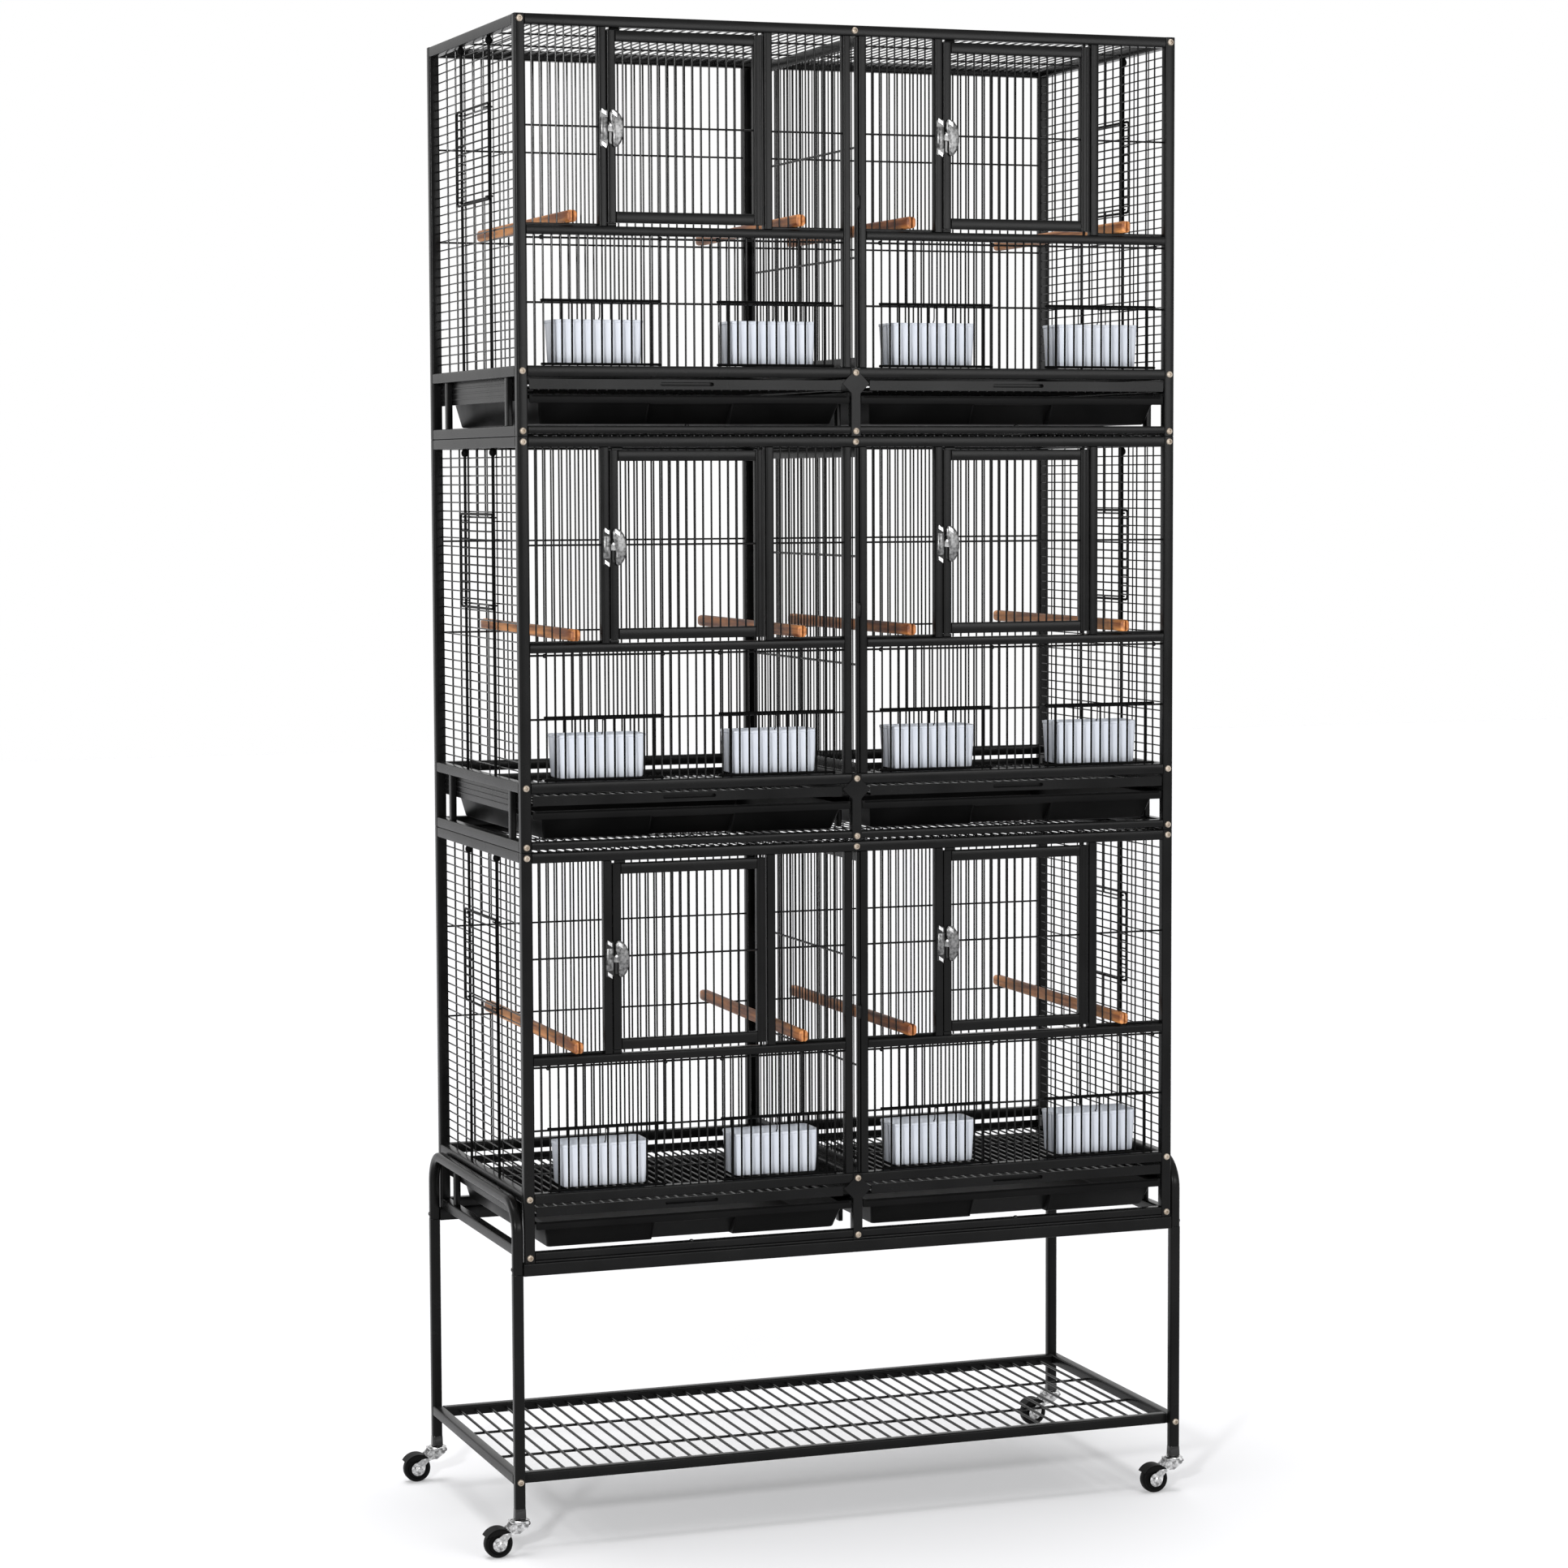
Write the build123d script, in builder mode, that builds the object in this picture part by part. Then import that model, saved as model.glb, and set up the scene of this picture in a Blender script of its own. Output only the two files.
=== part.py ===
import os
from math import atan2, degrees

from build123d import *

# A stacked breeding bird cage: three cages of two compartments each, on a rolling stand with a shelf.
# Millimetres. x runs across the front, y from the front to the back, z up from the floor.
# Inside one cage z is a height above its underside, and a panel's own x starts at its left edge.

# Driving dimensions
TIERS = ("bottom", "middle", "top")
HALVES = ("left", "right")
CAGE_W = 934.0
CAGE_D = 440.0
CAGE_H = 541.0
TUBE = 14.0
STAND_H = 390.0
CLEAR = 0.3

# Heights of the rails above the underside of one cage
FLOOR_RAIL_Z = 77.4
FEED_WIRE_Z = 173.0

# Mesh: the real wires are round, and the model holds three-sided bars that lie inside them.
# It holds every second wire in and beside the doors, every sixth of the top, and every fourth elsewhere.
WIRE_D = 2.4
WIRE_PITCH = 12.5
DOOR_WIRE_PITCH = 11.7
WIRE_DEPTH = 9.5
SIDE_WIRE_DEPTH = 11.5
FRONT_STEP = 2
MESH_STEP = 4
TOP_STEP = 6
ROD_W = 4.0

# Front panels, two to a cage, with the divider's slot between them
SLOT_W = 11.4
SLOT_STILE_W = 10.8
STRIKE_STILE_W = 11.0
HINGE_STILE_W = 11.3
MID_RAIL_H = 11.5
FIELD_SILL = 3.6
BRACKET_W = 39.0
BRACKET_NECK_W = 13.0
BRACKET_T = 1.6
BRACKET_HEAD_Z = 70.0
CENTRE_POST_W = 12.0
KEEPER_W = 11.0
KEEPER_T = 1.8

# Front door, a little left of its panel's middle, and its latch
DOOR_SHIFT = -1.5
DOOR_W = 213.5
DOOR_H = 246.2
DOOR_T = 10.0
DOOR_LIFT = 4.7
DOOR_TOP_GAP = 4.5
DOOR_SET = 1.0
DOOR_SIDE_W = 12.0
DOOR_END_W = 14.0
STRIKE_GAP = 1.0
HINGE_GAP = 2.2
HINGE_ROD_R = 2.0
HINGE_ROD_SIDES = 8
HINGE_ROD_CLEAR = 0.2
LATCH_Z = 397.0
LATCH_W = 20.5
LATCH_H = 49.0
LATCH_T = 5.0
LATCH_TRAVEL = 6.0
LATCH_WALL = 1.7
TONGUE_W = 7.5
TONGUE_H = 12.0
TONGUE_T = 2.2
BOSS_W = 3.5
BOSS_H = 8.0

# Feeder doors, from the panel's left and right edges, and the cups behind them
FEEDER_LEFT = 116.0
FEEDER_RIGHT = 107.5
FEEDER_W = 162.0
FEEDER_WIRES = 11
FEEDER_OPEN_W = 132.0
FEEDER_ROD = 3.0
FEEDER_SET = 3.0
CUP_W = 123.0
CUP_D = 56.0
CUP_H = 57.6
CUP_LIFT = 2.6
CUP_TAPER = 4.0
CUP_WALL = 2.0
CUP_HOOK_W = 8.0
CUP_HOOK_T = 1.5

# Perches, from the panel's left and right edges; each leans to the wire that holds its back end
PERCH_LEFT = 72.0
PERCH_RIGHT = 78.5
PERCH_LEAN = {"left": (4.0, 12.0), "right": (-5.5, 2.6)}
PERCH_W = 13.5
PERCH_H = 15.5
PERCH_FRONT = 13.0
PERCH_BACK = 5.0
PERCH_CHAMFER = 4.0

# Nest doors in the sides, on two guide rods
ROD_Y = 70.0
NEST_W = 163.0
NEST_Z = 312.0
NEST_H = 129.0
NEST_T = 3.0
NEST_BAR = 4.0
NEST_LAP = 6.0
NEST_WIRES = 3

# Divider
DIVIDER_T = 3.4
DIVIDER_X = 3.2
DIVIDER_BAR = 5.0
DIVIDER_FRONT_BAR = 8.0
DIVIDER_TOP_GAP = 3.0
DIVIDER_TAB = 6.0
DIVIDER_TAB_H = 20.0
DIVIDER_TAB_Z = 300.0

# Floor grilles, trays and their runners
DRAWER_SET = 1.0
DRAWER_GAP = 2.0
GRILLE_Z = 61.0
GRILLE_BAR = 4.0
GRILLE_STRIP_T = 1.5
GRILLE_STRIP_H = 13.0
GRIP_W = 74.0
GRIP_H = 5.0
GRIP_Z = 65.5
GRILLE_SIDE_GAP = 1.0
TRAY_Z = 16.8
TRAY_RIM_Z = 51.0
TRAY_RIM_T = 3.0
TRAY_WALL = 2.0
TRAY_END_SLOPE = 13.0
TRAY_FRONT_SLOPE = 20.0
TRAY_BAND_H = 8.0
TRAY_RIM_BACK = 8.0
RUNNER_LAP = 10.0
RUNNER_T = 2.0
RUNNER_WEB_T = 1.5
RUNNER_WEB_Z = 46.5
RUNNER_SLACK = 1.5
RUNNER_POST_Y = 150.0
RUNNER_POST_W = 12.0
RUNNER_POST_T = 8.0
CENTRE_WEB_T = 3.0

# Rolling stand
LEG_Y = 212.0
LEG_GAP = 1.5
LEG_BOTTOM = 49.0
SEAT_RAIL_H = 17.5
HOOP_RISE = 85.0
HOOP_SLEEVE = 15.0
HOOP_BEND_R = 40.0
SHELF_Z = 93.5
SHELF_WIRE_PITCH = 22.0
SHELF_CROSS_Y = 70.0

# Casters
WHEEL_R = 19.0
WHEEL_W = 15.0
CASTER_TRAIL = 30.0
AXLE_R = 2.5
PIVOT_CLEAR = 0.1
STEM_R = 4.0
STEM_L = 28.0
FORK_PLATE_W = 28.0
FORK_PLATE_T = 3.5
FORK_PLATE_CHAMFER = 6.0
CHEEK_T = 2.0
CHEEK_GAP = 1.0
CHEEK_W = 12.0

# Places worked out from these
HALF_W = CAGE_W / 2
HALF_D = CAGE_D / 2
IN_X = HALF_W - TUBE
IN_Y = HALF_D - TUBE
FLOOR_TOP = FLOOR_RAIL_Z + TUBE
TOP_RAIL_Z = CAGE_H - TUBE
DOOR_Z = TOP_RAIL_Z - DOOR_TOP_GAP - DOOR_H
MID_TOP = DOOR_Z - DOOR_LIFT
MID_RAIL_Z = MID_TOP - MID_RAIL_H
PANEL_W = HALF_W - SLOT_W / 2 - SLOT_STILE_W + TUBE
PANEL_X = {"left": -HALF_W, "right": HALF_W - PANEL_W}
WIRE_R = WIRE_D / 2
WIRE_Y = HALF_D - WIRE_DEPTH
FEED_WIRE_Y = -WIRE_Y + WIRE_D
DOOR_X = (PANEL_W - DOOR_W) / 2 + DOOR_SHIFT
DOOR_Y = -HALF_D + DOOR_SET
HINGE_X = DOOR_X + DOOR_W - DOOR_SIDE_W / 2
HINGE_Y = DOOR_Y + DOOR_T / 2
STRIKE_X = DOOR_X - STRIKE_GAP - STRIKE_STILE_W
HINGE_STILE_X = DOOR_X + DOOR_W + HINGE_GAP
FEEDER_X = (FEEDER_LEFT, PANEL_W - FEEDER_RIGHT)
PERCH_X = (PERCH_LEFT, PANEL_W - PERCH_RIGHT)
SIDE_WIRE_X = HALF_W - SIDE_WIRE_DEPTH
ROD_X = SIDE_WIRE_X + WIRE_R + ROD_W / 2
DRAWER_OUT = IN_X - DRAWER_GAP
DRAWER_BACK = IN_Y - DRAWER_GAP
DRAWER_FRONT = -HALF_D + DRAWER_SET
TRAY_IN = CENTRE_POST_W / 2 + DRAWER_GAP
GRILLE_IN = BRACKET_W / 2 + GRILLE_SIDE_GAP
TRAY_RUN_Z = TRAY_RIM_Z - CLEAR
GRILLE_RUN_Z = GRILLE_Z - CLEAR
LEG_X = HALF_W + LEG_GAP + TUBE / 2
WHEEL_REACH = LEG_X + CASTER_TRAIL + WHEEL_R
PLATE_REACH = LEG_X + FORK_PLATE_W / 2
MIDDLE_X = (WHEEL_REACH - PLATE_REACH) / 2
MIN3 = (Align.MIN, Align.MIN, Align.MIN)


def spread(low, high, step, pitch=WIRE_PITCH):
    """The modelled wires of an opening: every step-th of an even row whose gaps are about the pitch."""
    gaps = max(round((high - low) / (step * pitch)), 1)
    return [low + (high - low) * i / gaps for i in range(1, gaps)]


def bar(x, y, z):
    """A straight bar between the ends of three spans, in the part that is being built."""
    with Locations((x[0], y[0], z[0])):
        Box(x[1] - x[0], y[1] - y[0], z[1] - z[0], align=MIN3)


def both(low, high):
    """A span on the left of the middle and its mirror image on the right."""
    return ((-high, -low), (low, high))


def upright_wires(places, low, high):
    """Wires along z through the given x and y."""
    with BuildPart() as wires:
        with BuildSketch(Plane.XY.offset(low)):
            with Locations(*places):
                RegularPolygon(WIRE_R, 3, align=None)
        extrude(amount=high - low)
    return wires.part


def depth_wires(places, front, back):
    """Wires along y through the given x and z."""
    with BuildPart() as wires:
        with BuildSketch(Plane.XZ.offset(-back)):
            with Locations(*places):
                RegularPolygon(WIRE_R, 3, align=None)
        extrude(amount=back - front)
    return wires.part


def cross_wires(places, left, right):
    """Wires along x through the given y and z."""
    with BuildPart() as wires:
        with BuildSketch(Plane.YZ.offset(left)):
            with Locations(*places):
                RegularPolygon(WIRE_R, 3, align=None)
        extrude(amount=right - left)
    return wires.part


def pan_section(foot_w, head_w, low, high):
    """The cross-section of an open pan with sloping ends, in the sketch that is being drawn."""
    foot = foot_w / 2
    head = head_w / 2
    Polygon((-foot, low), (foot, low), (head, high), (-head, high), align=None)


def pan_form(foot_w, head_w, front, back, low, high):
    """A block with sloping ends, front and back, widest at its top."""
    with BuildPart() as form:
        with BuildSketch(Plane.XZ.offset(-back)):
            pan_section(foot_w, head_w, low, high)
        extrude(amount=back - front)
        with BuildSketch(Plane.YZ.offset(-head_w / 2)):
            Polygon(
                (front + TRAY_FRONT_SLOPE, low),
                (back - TRAY_END_SLOPE, low),
                (back, high),
                (front, high),
                align=None,
            )
        extrude(amount=head_w, mode=Mode.INTERSECT)
    return form.part


def write(name, pieces):
    """One named node, from pieces that are already in place."""
    node = pieces[0] if len(pieces) == 1 else Compound(children=pieces)
    node.label = name
    export_step(node, f"parts/{name}.step")


def tier_place(tier, x=0.0, y=0.0):
    """Where a piece of one cage goes, from the middle of the cage."""
    return Location((MIDDLE_X + x, y, STAND_H + CAGE_H * TIERS.index(tier)))


def in_every_tier(pieces):
    """Copies of one cage's fixed pieces in all the cages."""
    return [piece.moved(tier_place(tier)) for tier in TIERS for piece in pieces]


os.makedirs("parts", exist_ok=True)

# Front panels of one cage: posts, rails, door stiles, hinge rods, latch keepers and the centre bracket
FRONT_Y = (-HALF_D, -IN_Y)
with BuildPart() as front_posts:
    for span in both(IN_X, HALF_W):
        bar(span, FRONT_Y, (0, CAGE_H))
    for span in both(SLOT_W / 2, SLOT_W / 2 + SLOT_STILE_W):
        bar(span, FRONT_Y, (FLOOR_TOP, TOP_RAIL_Z))
    bar((-CENTRE_POST_W / 2, CENTRE_POST_W / 2), FRONT_Y, (TUBE, FLOOR_RAIL_Z))
    for left in PANEL_X.values():
        bar((left + STRIKE_X, left + STRIKE_X + STRIKE_STILE_W), FRONT_Y, (MID_TOP, TOP_RAIL_Z))
        bar((left + HINGE_STILE_X, left + HINGE_STILE_X + HINGE_STILE_W), FRONT_Y, (MID_TOP, TOP_RAIL_Z))

FIELDS = ((TUBE, STRIKE_X), (HINGE_STILE_X + HINGE_STILE_W, PANEL_W - TUBE))
FIELD_LOW = MID_TOP + FIELD_SILL
SILL_Y = (-WIRE_Y - FIELD_SILL / 2, -WIRE_Y + FIELD_SILL / 2)
with BuildPart() as front_rails:
    for low in (0, FLOOR_RAIL_Z, TOP_RAIL_Z):
        bar((-IN_X, IN_X), FRONT_Y, (low, low + TUBE))
    for left in PANEL_X.values():
        bar((left + TUBE, left + PANEL_W - TUBE), FRONT_Y, (MID_RAIL_Z, MID_TOP))
        for field in FIELDS:
            bar((left + field[0], left + field[1]), SILL_Y, (MID_TOP, FIELD_LOW))

with BuildPart() as hinge_rods:
    with BuildSketch(Plane.XY.offset(MID_TOP)):
        with Locations(*[(left + HINGE_X, HINGE_Y) for left in PANEL_X.values()]):
            RegularPolygon(HINGE_ROD_R, HINGE_ROD_SIDES, align=None)
    extrude(amount=TOP_RAIL_Z - MID_TOP)

with BuildPart() as keepers:
    for left in PANEL_X.values():
        middle = left + STRIKE_X + STRIKE_STILE_W / 2
        bar(
            (middle - KEEPER_W / 2, middle + KEEPER_W / 2),
            (-HALF_D - KEEPER_T, -HALF_D),
            (LATCH_Z - LATCH_H / 2, LATCH_Z + LATCH_H / 2),
        )

with BuildPart() as centre_bracket:
    with BuildSketch(Plane.XZ.offset(HALF_D)):
        with Locations((0, FLOOR_TOP / 2)):
            Rectangle(BRACKET_NECK_W, FLOOR_TOP - 2 * CLEAR)
        with Locations((0, BRACKET_HEAD_Z)):
            Rectangle(BRACKET_W / 2**0.5, BRACKET_W / 2**0.5, rotation=45)
    extrude(amount=BRACKET_T)

# Wires of the front panels: beside the doors, above the feeders, and round the feeder openings
FEED_LOW = FEED_WIRE_Z - WIRE_R
FEED_EDGES = [x + side * FEEDER_OPEN_W / 2 for x in FEEDER_X for side in (-1, 1)]
FEED_MIDDLE = spread(FEED_EDGES[1], FEED_EDGES[2], MESH_STEP)
field_places = [
    (left + x, -WIRE_Y) for left in PANEL_X.values() for field in FIELDS for x in spread(*field, FRONT_STEP)
]
drop_places = [
    (left + x, -WIRE_Y) for left in PANEL_X.values() for x in spread(TUBE, PANEL_W - TUBE, MESH_STEP)
]
feed_places = [(left + x, -WIRE_Y) for left in PANEL_X.values() for x in FEED_EDGES + FEED_MIDDLE]
front_wires = [
    upright_wires(field_places, FIELD_LOW, TOP_RAIL_Z),
    upright_wires(drop_places, FEED_LOW, MID_RAIL_Z),
    upright_wires(feed_places, FLOOR_TOP, FEED_LOW),
]
for left in PANEL_X.values():
    front_wires.append(
        cross_wires([(FEED_WIRE_Y, FEED_WIRE_Z)], left + TUBE, left + PANEL_W - TUBE)
    )
front_pieces = [front_posts, front_rails, hinge_rods, keepers, centre_bracket]
write("front_panels", in_every_tier([piece.part for piece in front_pieces] + front_wires))

# Side panels of one cage: rails, guide rods and wires round the nest opening
with BuildPart() as side_rails:
    for span in both(IN_X, HALF_W):
        for low in (0, FLOOR_RAIL_Z, TOP_RAIL_Z):
            bar(span, (-IN_Y, IN_Y), (low, low + TUBE))

with BuildPart() as guide_rods:
    for span in both(ROD_X - ROD_W / 2, ROD_X + ROD_W / 2):
        for y in (-ROD_Y, ROD_Y):
            bar(span, (y - ROD_W / 2, y + ROD_W / 2), (FLOOR_TOP, TOP_RAIL_Z))

NEST_OPEN = (NEST_Z + NEST_LAP, NEST_Z + NEST_H - NEST_LAP)
side_levels = spread(FLOOR_TOP, TOP_RAIL_Z, MESH_STEP)
nest_levels = [z for z in side_levels if NEST_Z < z < NEST_Z + NEST_H]
whole_levels = [z for z in side_levels if z not in nest_levels]
side_wires = []
for x in (-SIDE_WIRE_X, SIDE_WIRE_X):
    side_wires.append(depth_wires([(x, z) for z in whole_levels], -IN_Y, IN_Y))
    side_wires.append(depth_wires([(x, z) for z in nest_levels], -IN_Y, -ROD_Y))
    side_wires.append(depth_wires([(x, z) for z in NEST_OPEN], -ROD_Y, ROD_Y))
    side_wires.append(depth_wires([(x, z) for z in nest_levels], ROD_Y, IN_Y))
write("side_panels", in_every_tier([side_rails.part, guide_rods.part] + side_wires))

# Back and top panels of one cage
BACK_Y = (IN_Y, HALF_D)
with BuildPart() as back_posts:
    for span in both(IN_X, HALF_W):
        bar(span, BACK_Y, (0, CAGE_H))
    bar((-TUBE / 2, TUBE / 2), BACK_Y, (TUBE, FLOOR_RAIL_Z))
    bar((-TUBE / 2, TUBE / 2), BACK_Y, (FLOOR_TOP, TOP_RAIL_Z))

with BuildPart() as back_rails:
    for low in (0, FLOOR_RAIL_Z, TOP_RAIL_Z):
        bar((-IN_X, IN_X), BACK_Y, (low, low + TUBE))

BACK_CROSS_Z = (MID_TOP + WIRE_R, LATCH_Z)
back_places = [
    (x, WIRE_Y) for span in both(TUBE / 2, IN_X) for x in spread(*span, MESH_STEP)
]
top_places = [(x, CAGE_H - TUBE / 2) for x in spread(-IN_X, IN_X, TOP_STEP)]
back_wires = [
    upright_wires(back_places, FLOOR_TOP, TOP_RAIL_Z),
    depth_wires(top_places, -IN_Y, IN_Y),
    cross_wires([(y, CAGE_H - TUBE / 2 - WIRE_D) for y in (-ROD_Y, ROD_Y)], -IN_X, IN_X),
]
for span in both(TUBE / 2, IN_X):
    back_wires.append(cross_wires([(WIRE_Y - WIRE_D, z) for z in BACK_CROSS_Z], *span))
write("back_and_top_panels", in_every_tier([back_posts.part, back_rails.part] + back_wires))

# Runners of one cage: the beam under the divider, webs below it and at the sides, and flat strips on them
with BuildPart() as centre_beam:
    bar((-TUBE / 2, TUBE / 2), (-IN_Y, IN_Y), (FLOOR_RAIL_Z, FLOOR_TOP))

with BuildPart() as centre_web:
    bar((-CENTRE_WEB_T / 2, CENTRE_WEB_T / 2), (-IN_Y, IN_Y), (TUBE, FLOOR_RAIL_Z))

with BuildPart() as runner_posts:
    for span in both(IN_X + DRAWER_GAP, IN_X + DRAWER_GAP + RUNNER_POST_T):
        for y in (-RUNNER_POST_Y, RUNNER_POST_Y):
            bar(span, (y - RUNNER_POST_W / 2, y + RUNNER_POST_W / 2), (TUBE, FLOOR_RAIL_Z))

RUNNER_WEB_X = IN_X + DRAWER_GAP - RUNNER_WEB_T
with BuildPart() as runner_webs:
    for span in both(RUNNER_WEB_X, IN_X + DRAWER_GAP):
        bar(span, (-IN_Y, IN_Y), (RUNNER_WEB_Z, FLOOR_RAIL_Z))

with BuildPart() as runner_strips:
    for top, inner in ((TRAY_RUN_Z, TRAY_IN), (GRILLE_RUN_Z, GRILLE_IN)):
        level = (top - RUNNER_T, top)
        for span in both(DRAWER_OUT - RUNNER_LAP, RUNNER_WEB_X):
            bar(span, (-IN_Y, IN_Y), level)
        for span in both(CENTRE_WEB_T / 2, inner + RUNNER_LAP):
            bar(span, (-IN_Y, IN_Y), level)
runner_pieces = [centre_beam, centre_web, runner_posts, runner_webs, runner_strips]
write("drawer_runners", in_every_tier([piece.part for piece in runner_pieces]))

# Front door, with a channel at its hinge side that turns on the rod, and the boss that guides its latch
with BuildPart() as front_door:
    with BuildSketch(Plane.XZ.offset(-DOOR_Y)):
        with Locations((DOOR_X + DOOR_W / 2, DOOR_Z + DOOR_H / 2)):
            Rectangle(DOOR_W, DOOR_H)
            Rectangle(DOOR_W - 2 * DOOR_SIDE_W, DOOR_H - 2 * DOOR_END_W, mode=Mode.SUBTRACT)
    extrude(amount=-DOOR_T)
    channel_r = HINGE_ROD_R + HINGE_ROD_CLEAR
    with BuildSketch(Plane.XY.offset(DOOR_Z)):
        with Locations((HINGE_X - channel_r, HINGE_Y - channel_r)):
            Rectangle(2 * channel_r, DOOR_T, align=(Align.MIN, Align.MIN))
    extrude(amount=DOOR_H, mode=Mode.SUBTRACT)
    wire_y = DOOR_Y + DOOR_T - WIRE_D
    wire_low = DOOR_Z + DOOR_END_W
    wire_x = spread(DOOR_X + DOOR_SIDE_W, DOOR_X + DOOR_W - DOOR_SIDE_W, FRONT_STEP, DOOR_WIRE_PITCH)
    add(upright_wires([(x, wire_y) for x in wire_x], wire_low, wire_low + DOOR_H - 2 * DOOR_END_W))
    boss_right = DOOR_X + DOOR_SIDE_W
    bar(
        (boss_right - BOSS_W, boss_right),
        (DOOR_Y - CLEAR - LATCH_T, DOOR_Y),
        (LATCH_Z - BOSS_H / 2, LATCH_Z + BOSS_H / 2),
    )

# Latch: an arched plate that slides on the door's boss, with a tongue in front of the keeper
LATCH_X = boss_right - BOSS_W - LATCH_TRAVEL - CLEAR - LATCH_WALL
LATCH_FRONT = DOOR_Y - CLEAR - LATCH_T
with BuildPart() as door_latch:
    with BuildSketch(Plane.XZ.offset(-LATCH_FRONT)):
        with Locations((LATCH_X + LATCH_W / 2, LATCH_Z)):
            plate = Rectangle(LATCH_W, LATCH_H)
        chamfer(plate.vertices().group_by(Axis.Y)[-1], LATCH_W / 3)
        chamfer(plate.vertices().sort_by_distance((LATCH_X + LATCH_W, LATCH_Z - LATCH_H / 2))[0], LATCH_W / 2)
        with Locations((LATCH_X + LATCH_WALL, LATCH_Z)):
            Rectangle(
                BOSS_W + LATCH_TRAVEL + 2 * CLEAR,
                BOSS_H + 2 * CLEAR,
                align=(Align.MIN, Align.CENTER),
                mode=Mode.SUBTRACT,
            )
    extrude(amount=-LATCH_T)
    bar(
        (LATCH_X - TONGUE_W, LATCH_X),
        (LATCH_FRONT, LATCH_FRONT + TONGUE_T),
        (LATCH_Z - TONGUE_H / 2, LATCH_Z + TONGUE_H / 2),
    )

# Feeder door: two rods joined by upright wires, in front of its opening
with BuildPart() as feeder_door:
    rod_y = (-HALF_D + FEEDER_SET, -HALF_D + FEEDER_SET + FEEDER_ROD)
    rod_low = FLOOR_TOP + CLEAR
    rod_high = FEED_WIRE_Z - FEEDER_ROD / 2
    for low in (rod_low, rod_high):
        bar((-FEEDER_W / 2, FEEDER_W / 2), rod_y, (low, low + FEEDER_ROD))
    outer_wire = FEEDER_W / 2 * (FEEDER_WIRES - 1) / (FEEDER_WIRES + 1)
    wire_places = [(x, sum(rod_y) / 2) for x in (-outer_wire, 0, outer_wire)]
    add(upright_wires(wire_places, rod_low + FEEDER_ROD, rod_high))

# Nest door: a wire frame that slides up on the guide rods
with BuildPart() as nest_door:
    with BuildSketch(Plane.YZ.offset(-NEST_T / 2)):
        with Locations((0, NEST_Z + NEST_H / 2)):
            Rectangle(NEST_W, NEST_H)
            Rectangle(NEST_W - 2 * NEST_BAR, NEST_H - 2 * NEST_BAR, mode=Mode.SUBTRACT)
    extrude(amount=NEST_T)
    nest_in = NEST_W / 2 - NEST_BAR
    nest_gap = NEST_H / (NEST_WIRES + 1)
    nest_places = [(0, NEST_Z + nest_gap * (i + 1)) for i in range(NEST_WIRES)]
    add(depth_wires(nest_places, -nest_in, nest_in))

# Divider between the two compartments, drawn out through the slot by its tab
with BuildPart() as divider:
    low = FLOOR_TOP + CLEAR
    high = TOP_RAIL_Z - DIVIDER_TOP_GAP
    front_in = DRAWER_FRONT + DIVIDER_FRONT_BAR
    back_in = DRAWER_BACK - DIVIDER_BAR
    thick = (-DIVIDER_T / 2, DIVIDER_T / 2)
    bar(thick, (DRAWER_FRONT, DRAWER_BACK), (low, high))
    with Locations((-DIVIDER_T / 2, front_in, low + DIVIDER_BAR)):
        Box(DIVIDER_T, back_in - front_in, high - low - 2 * DIVIDER_BAR, align=MIN3, mode=Mode.SUBTRACT)
    divider_places = [(0, y) for y in spread(front_in, back_in, MESH_STEP)]
    add(upright_wires(divider_places, low + DIVIDER_BAR, high - DIVIDER_BAR))
    bar(thick, (DRAWER_FRONT - DIVIDER_TAB, DRAWER_FRONT), (DIVIDER_TAB_Z, DIVIDER_TAB_Z + DIVIDER_TAB_H))

# Floor grille: bars and wires behind a front strip with a finger slot
GRILLE_W = DRAWER_OUT - GRILLE_IN
GRILLE_FRONT = DRAWER_FRONT + GRILLE_STRIP_T
GRILLE_LEVEL = (GRILLE_Z, GRILLE_Z + GRILLE_BAR)
GRILLE_HALF = GRILLE_W / 2 - GRILLE_BAR
GRILLE_ENDS = (GRILLE_FRONT + GRILLE_BAR, DRAWER_BACK - GRILLE_BAR)
with BuildPart() as grille_side_bars:
    for span in both(GRILLE_HALF, GRILLE_W / 2):
        bar(span, (GRILLE_FRONT, DRAWER_BACK), GRILLE_LEVEL)

with BuildPart() as grille_end_bars:
    for span in ((GRILLE_FRONT, GRILLE_ENDS[0]), (GRILLE_ENDS[1], DRAWER_BACK)):
        bar((-GRILLE_HALF, GRILLE_HALF), span, GRILLE_LEVEL)

with BuildPart() as grille_strip:
    with BuildSketch(Plane.XZ.offset(-DRAWER_FRONT)):
        with Locations((0, GRILLE_Z + GRILLE_STRIP_H / 2)):
            Rectangle(GRILLE_W, GRILLE_STRIP_H)
        with Locations((0, GRIP_Z + GRIP_H / 2)):
            Rectangle(GRIP_W, GRIP_H, mode=Mode.SUBTRACT)
    extrude(amount=-GRILLE_STRIP_T)

grille_level = GRILLE_Z + GRILLE_BAR / 2
grille_places = [(x, grille_level) for x in spread(-GRILLE_HALF, GRILLE_HALF, MESH_STEP)]
floor_grille = [
    grille_strip.part,
    grille_side_bars.part,
    grille_end_bars.part,
    depth_wires(grille_places, *GRILLE_ENDS),
]

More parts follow.
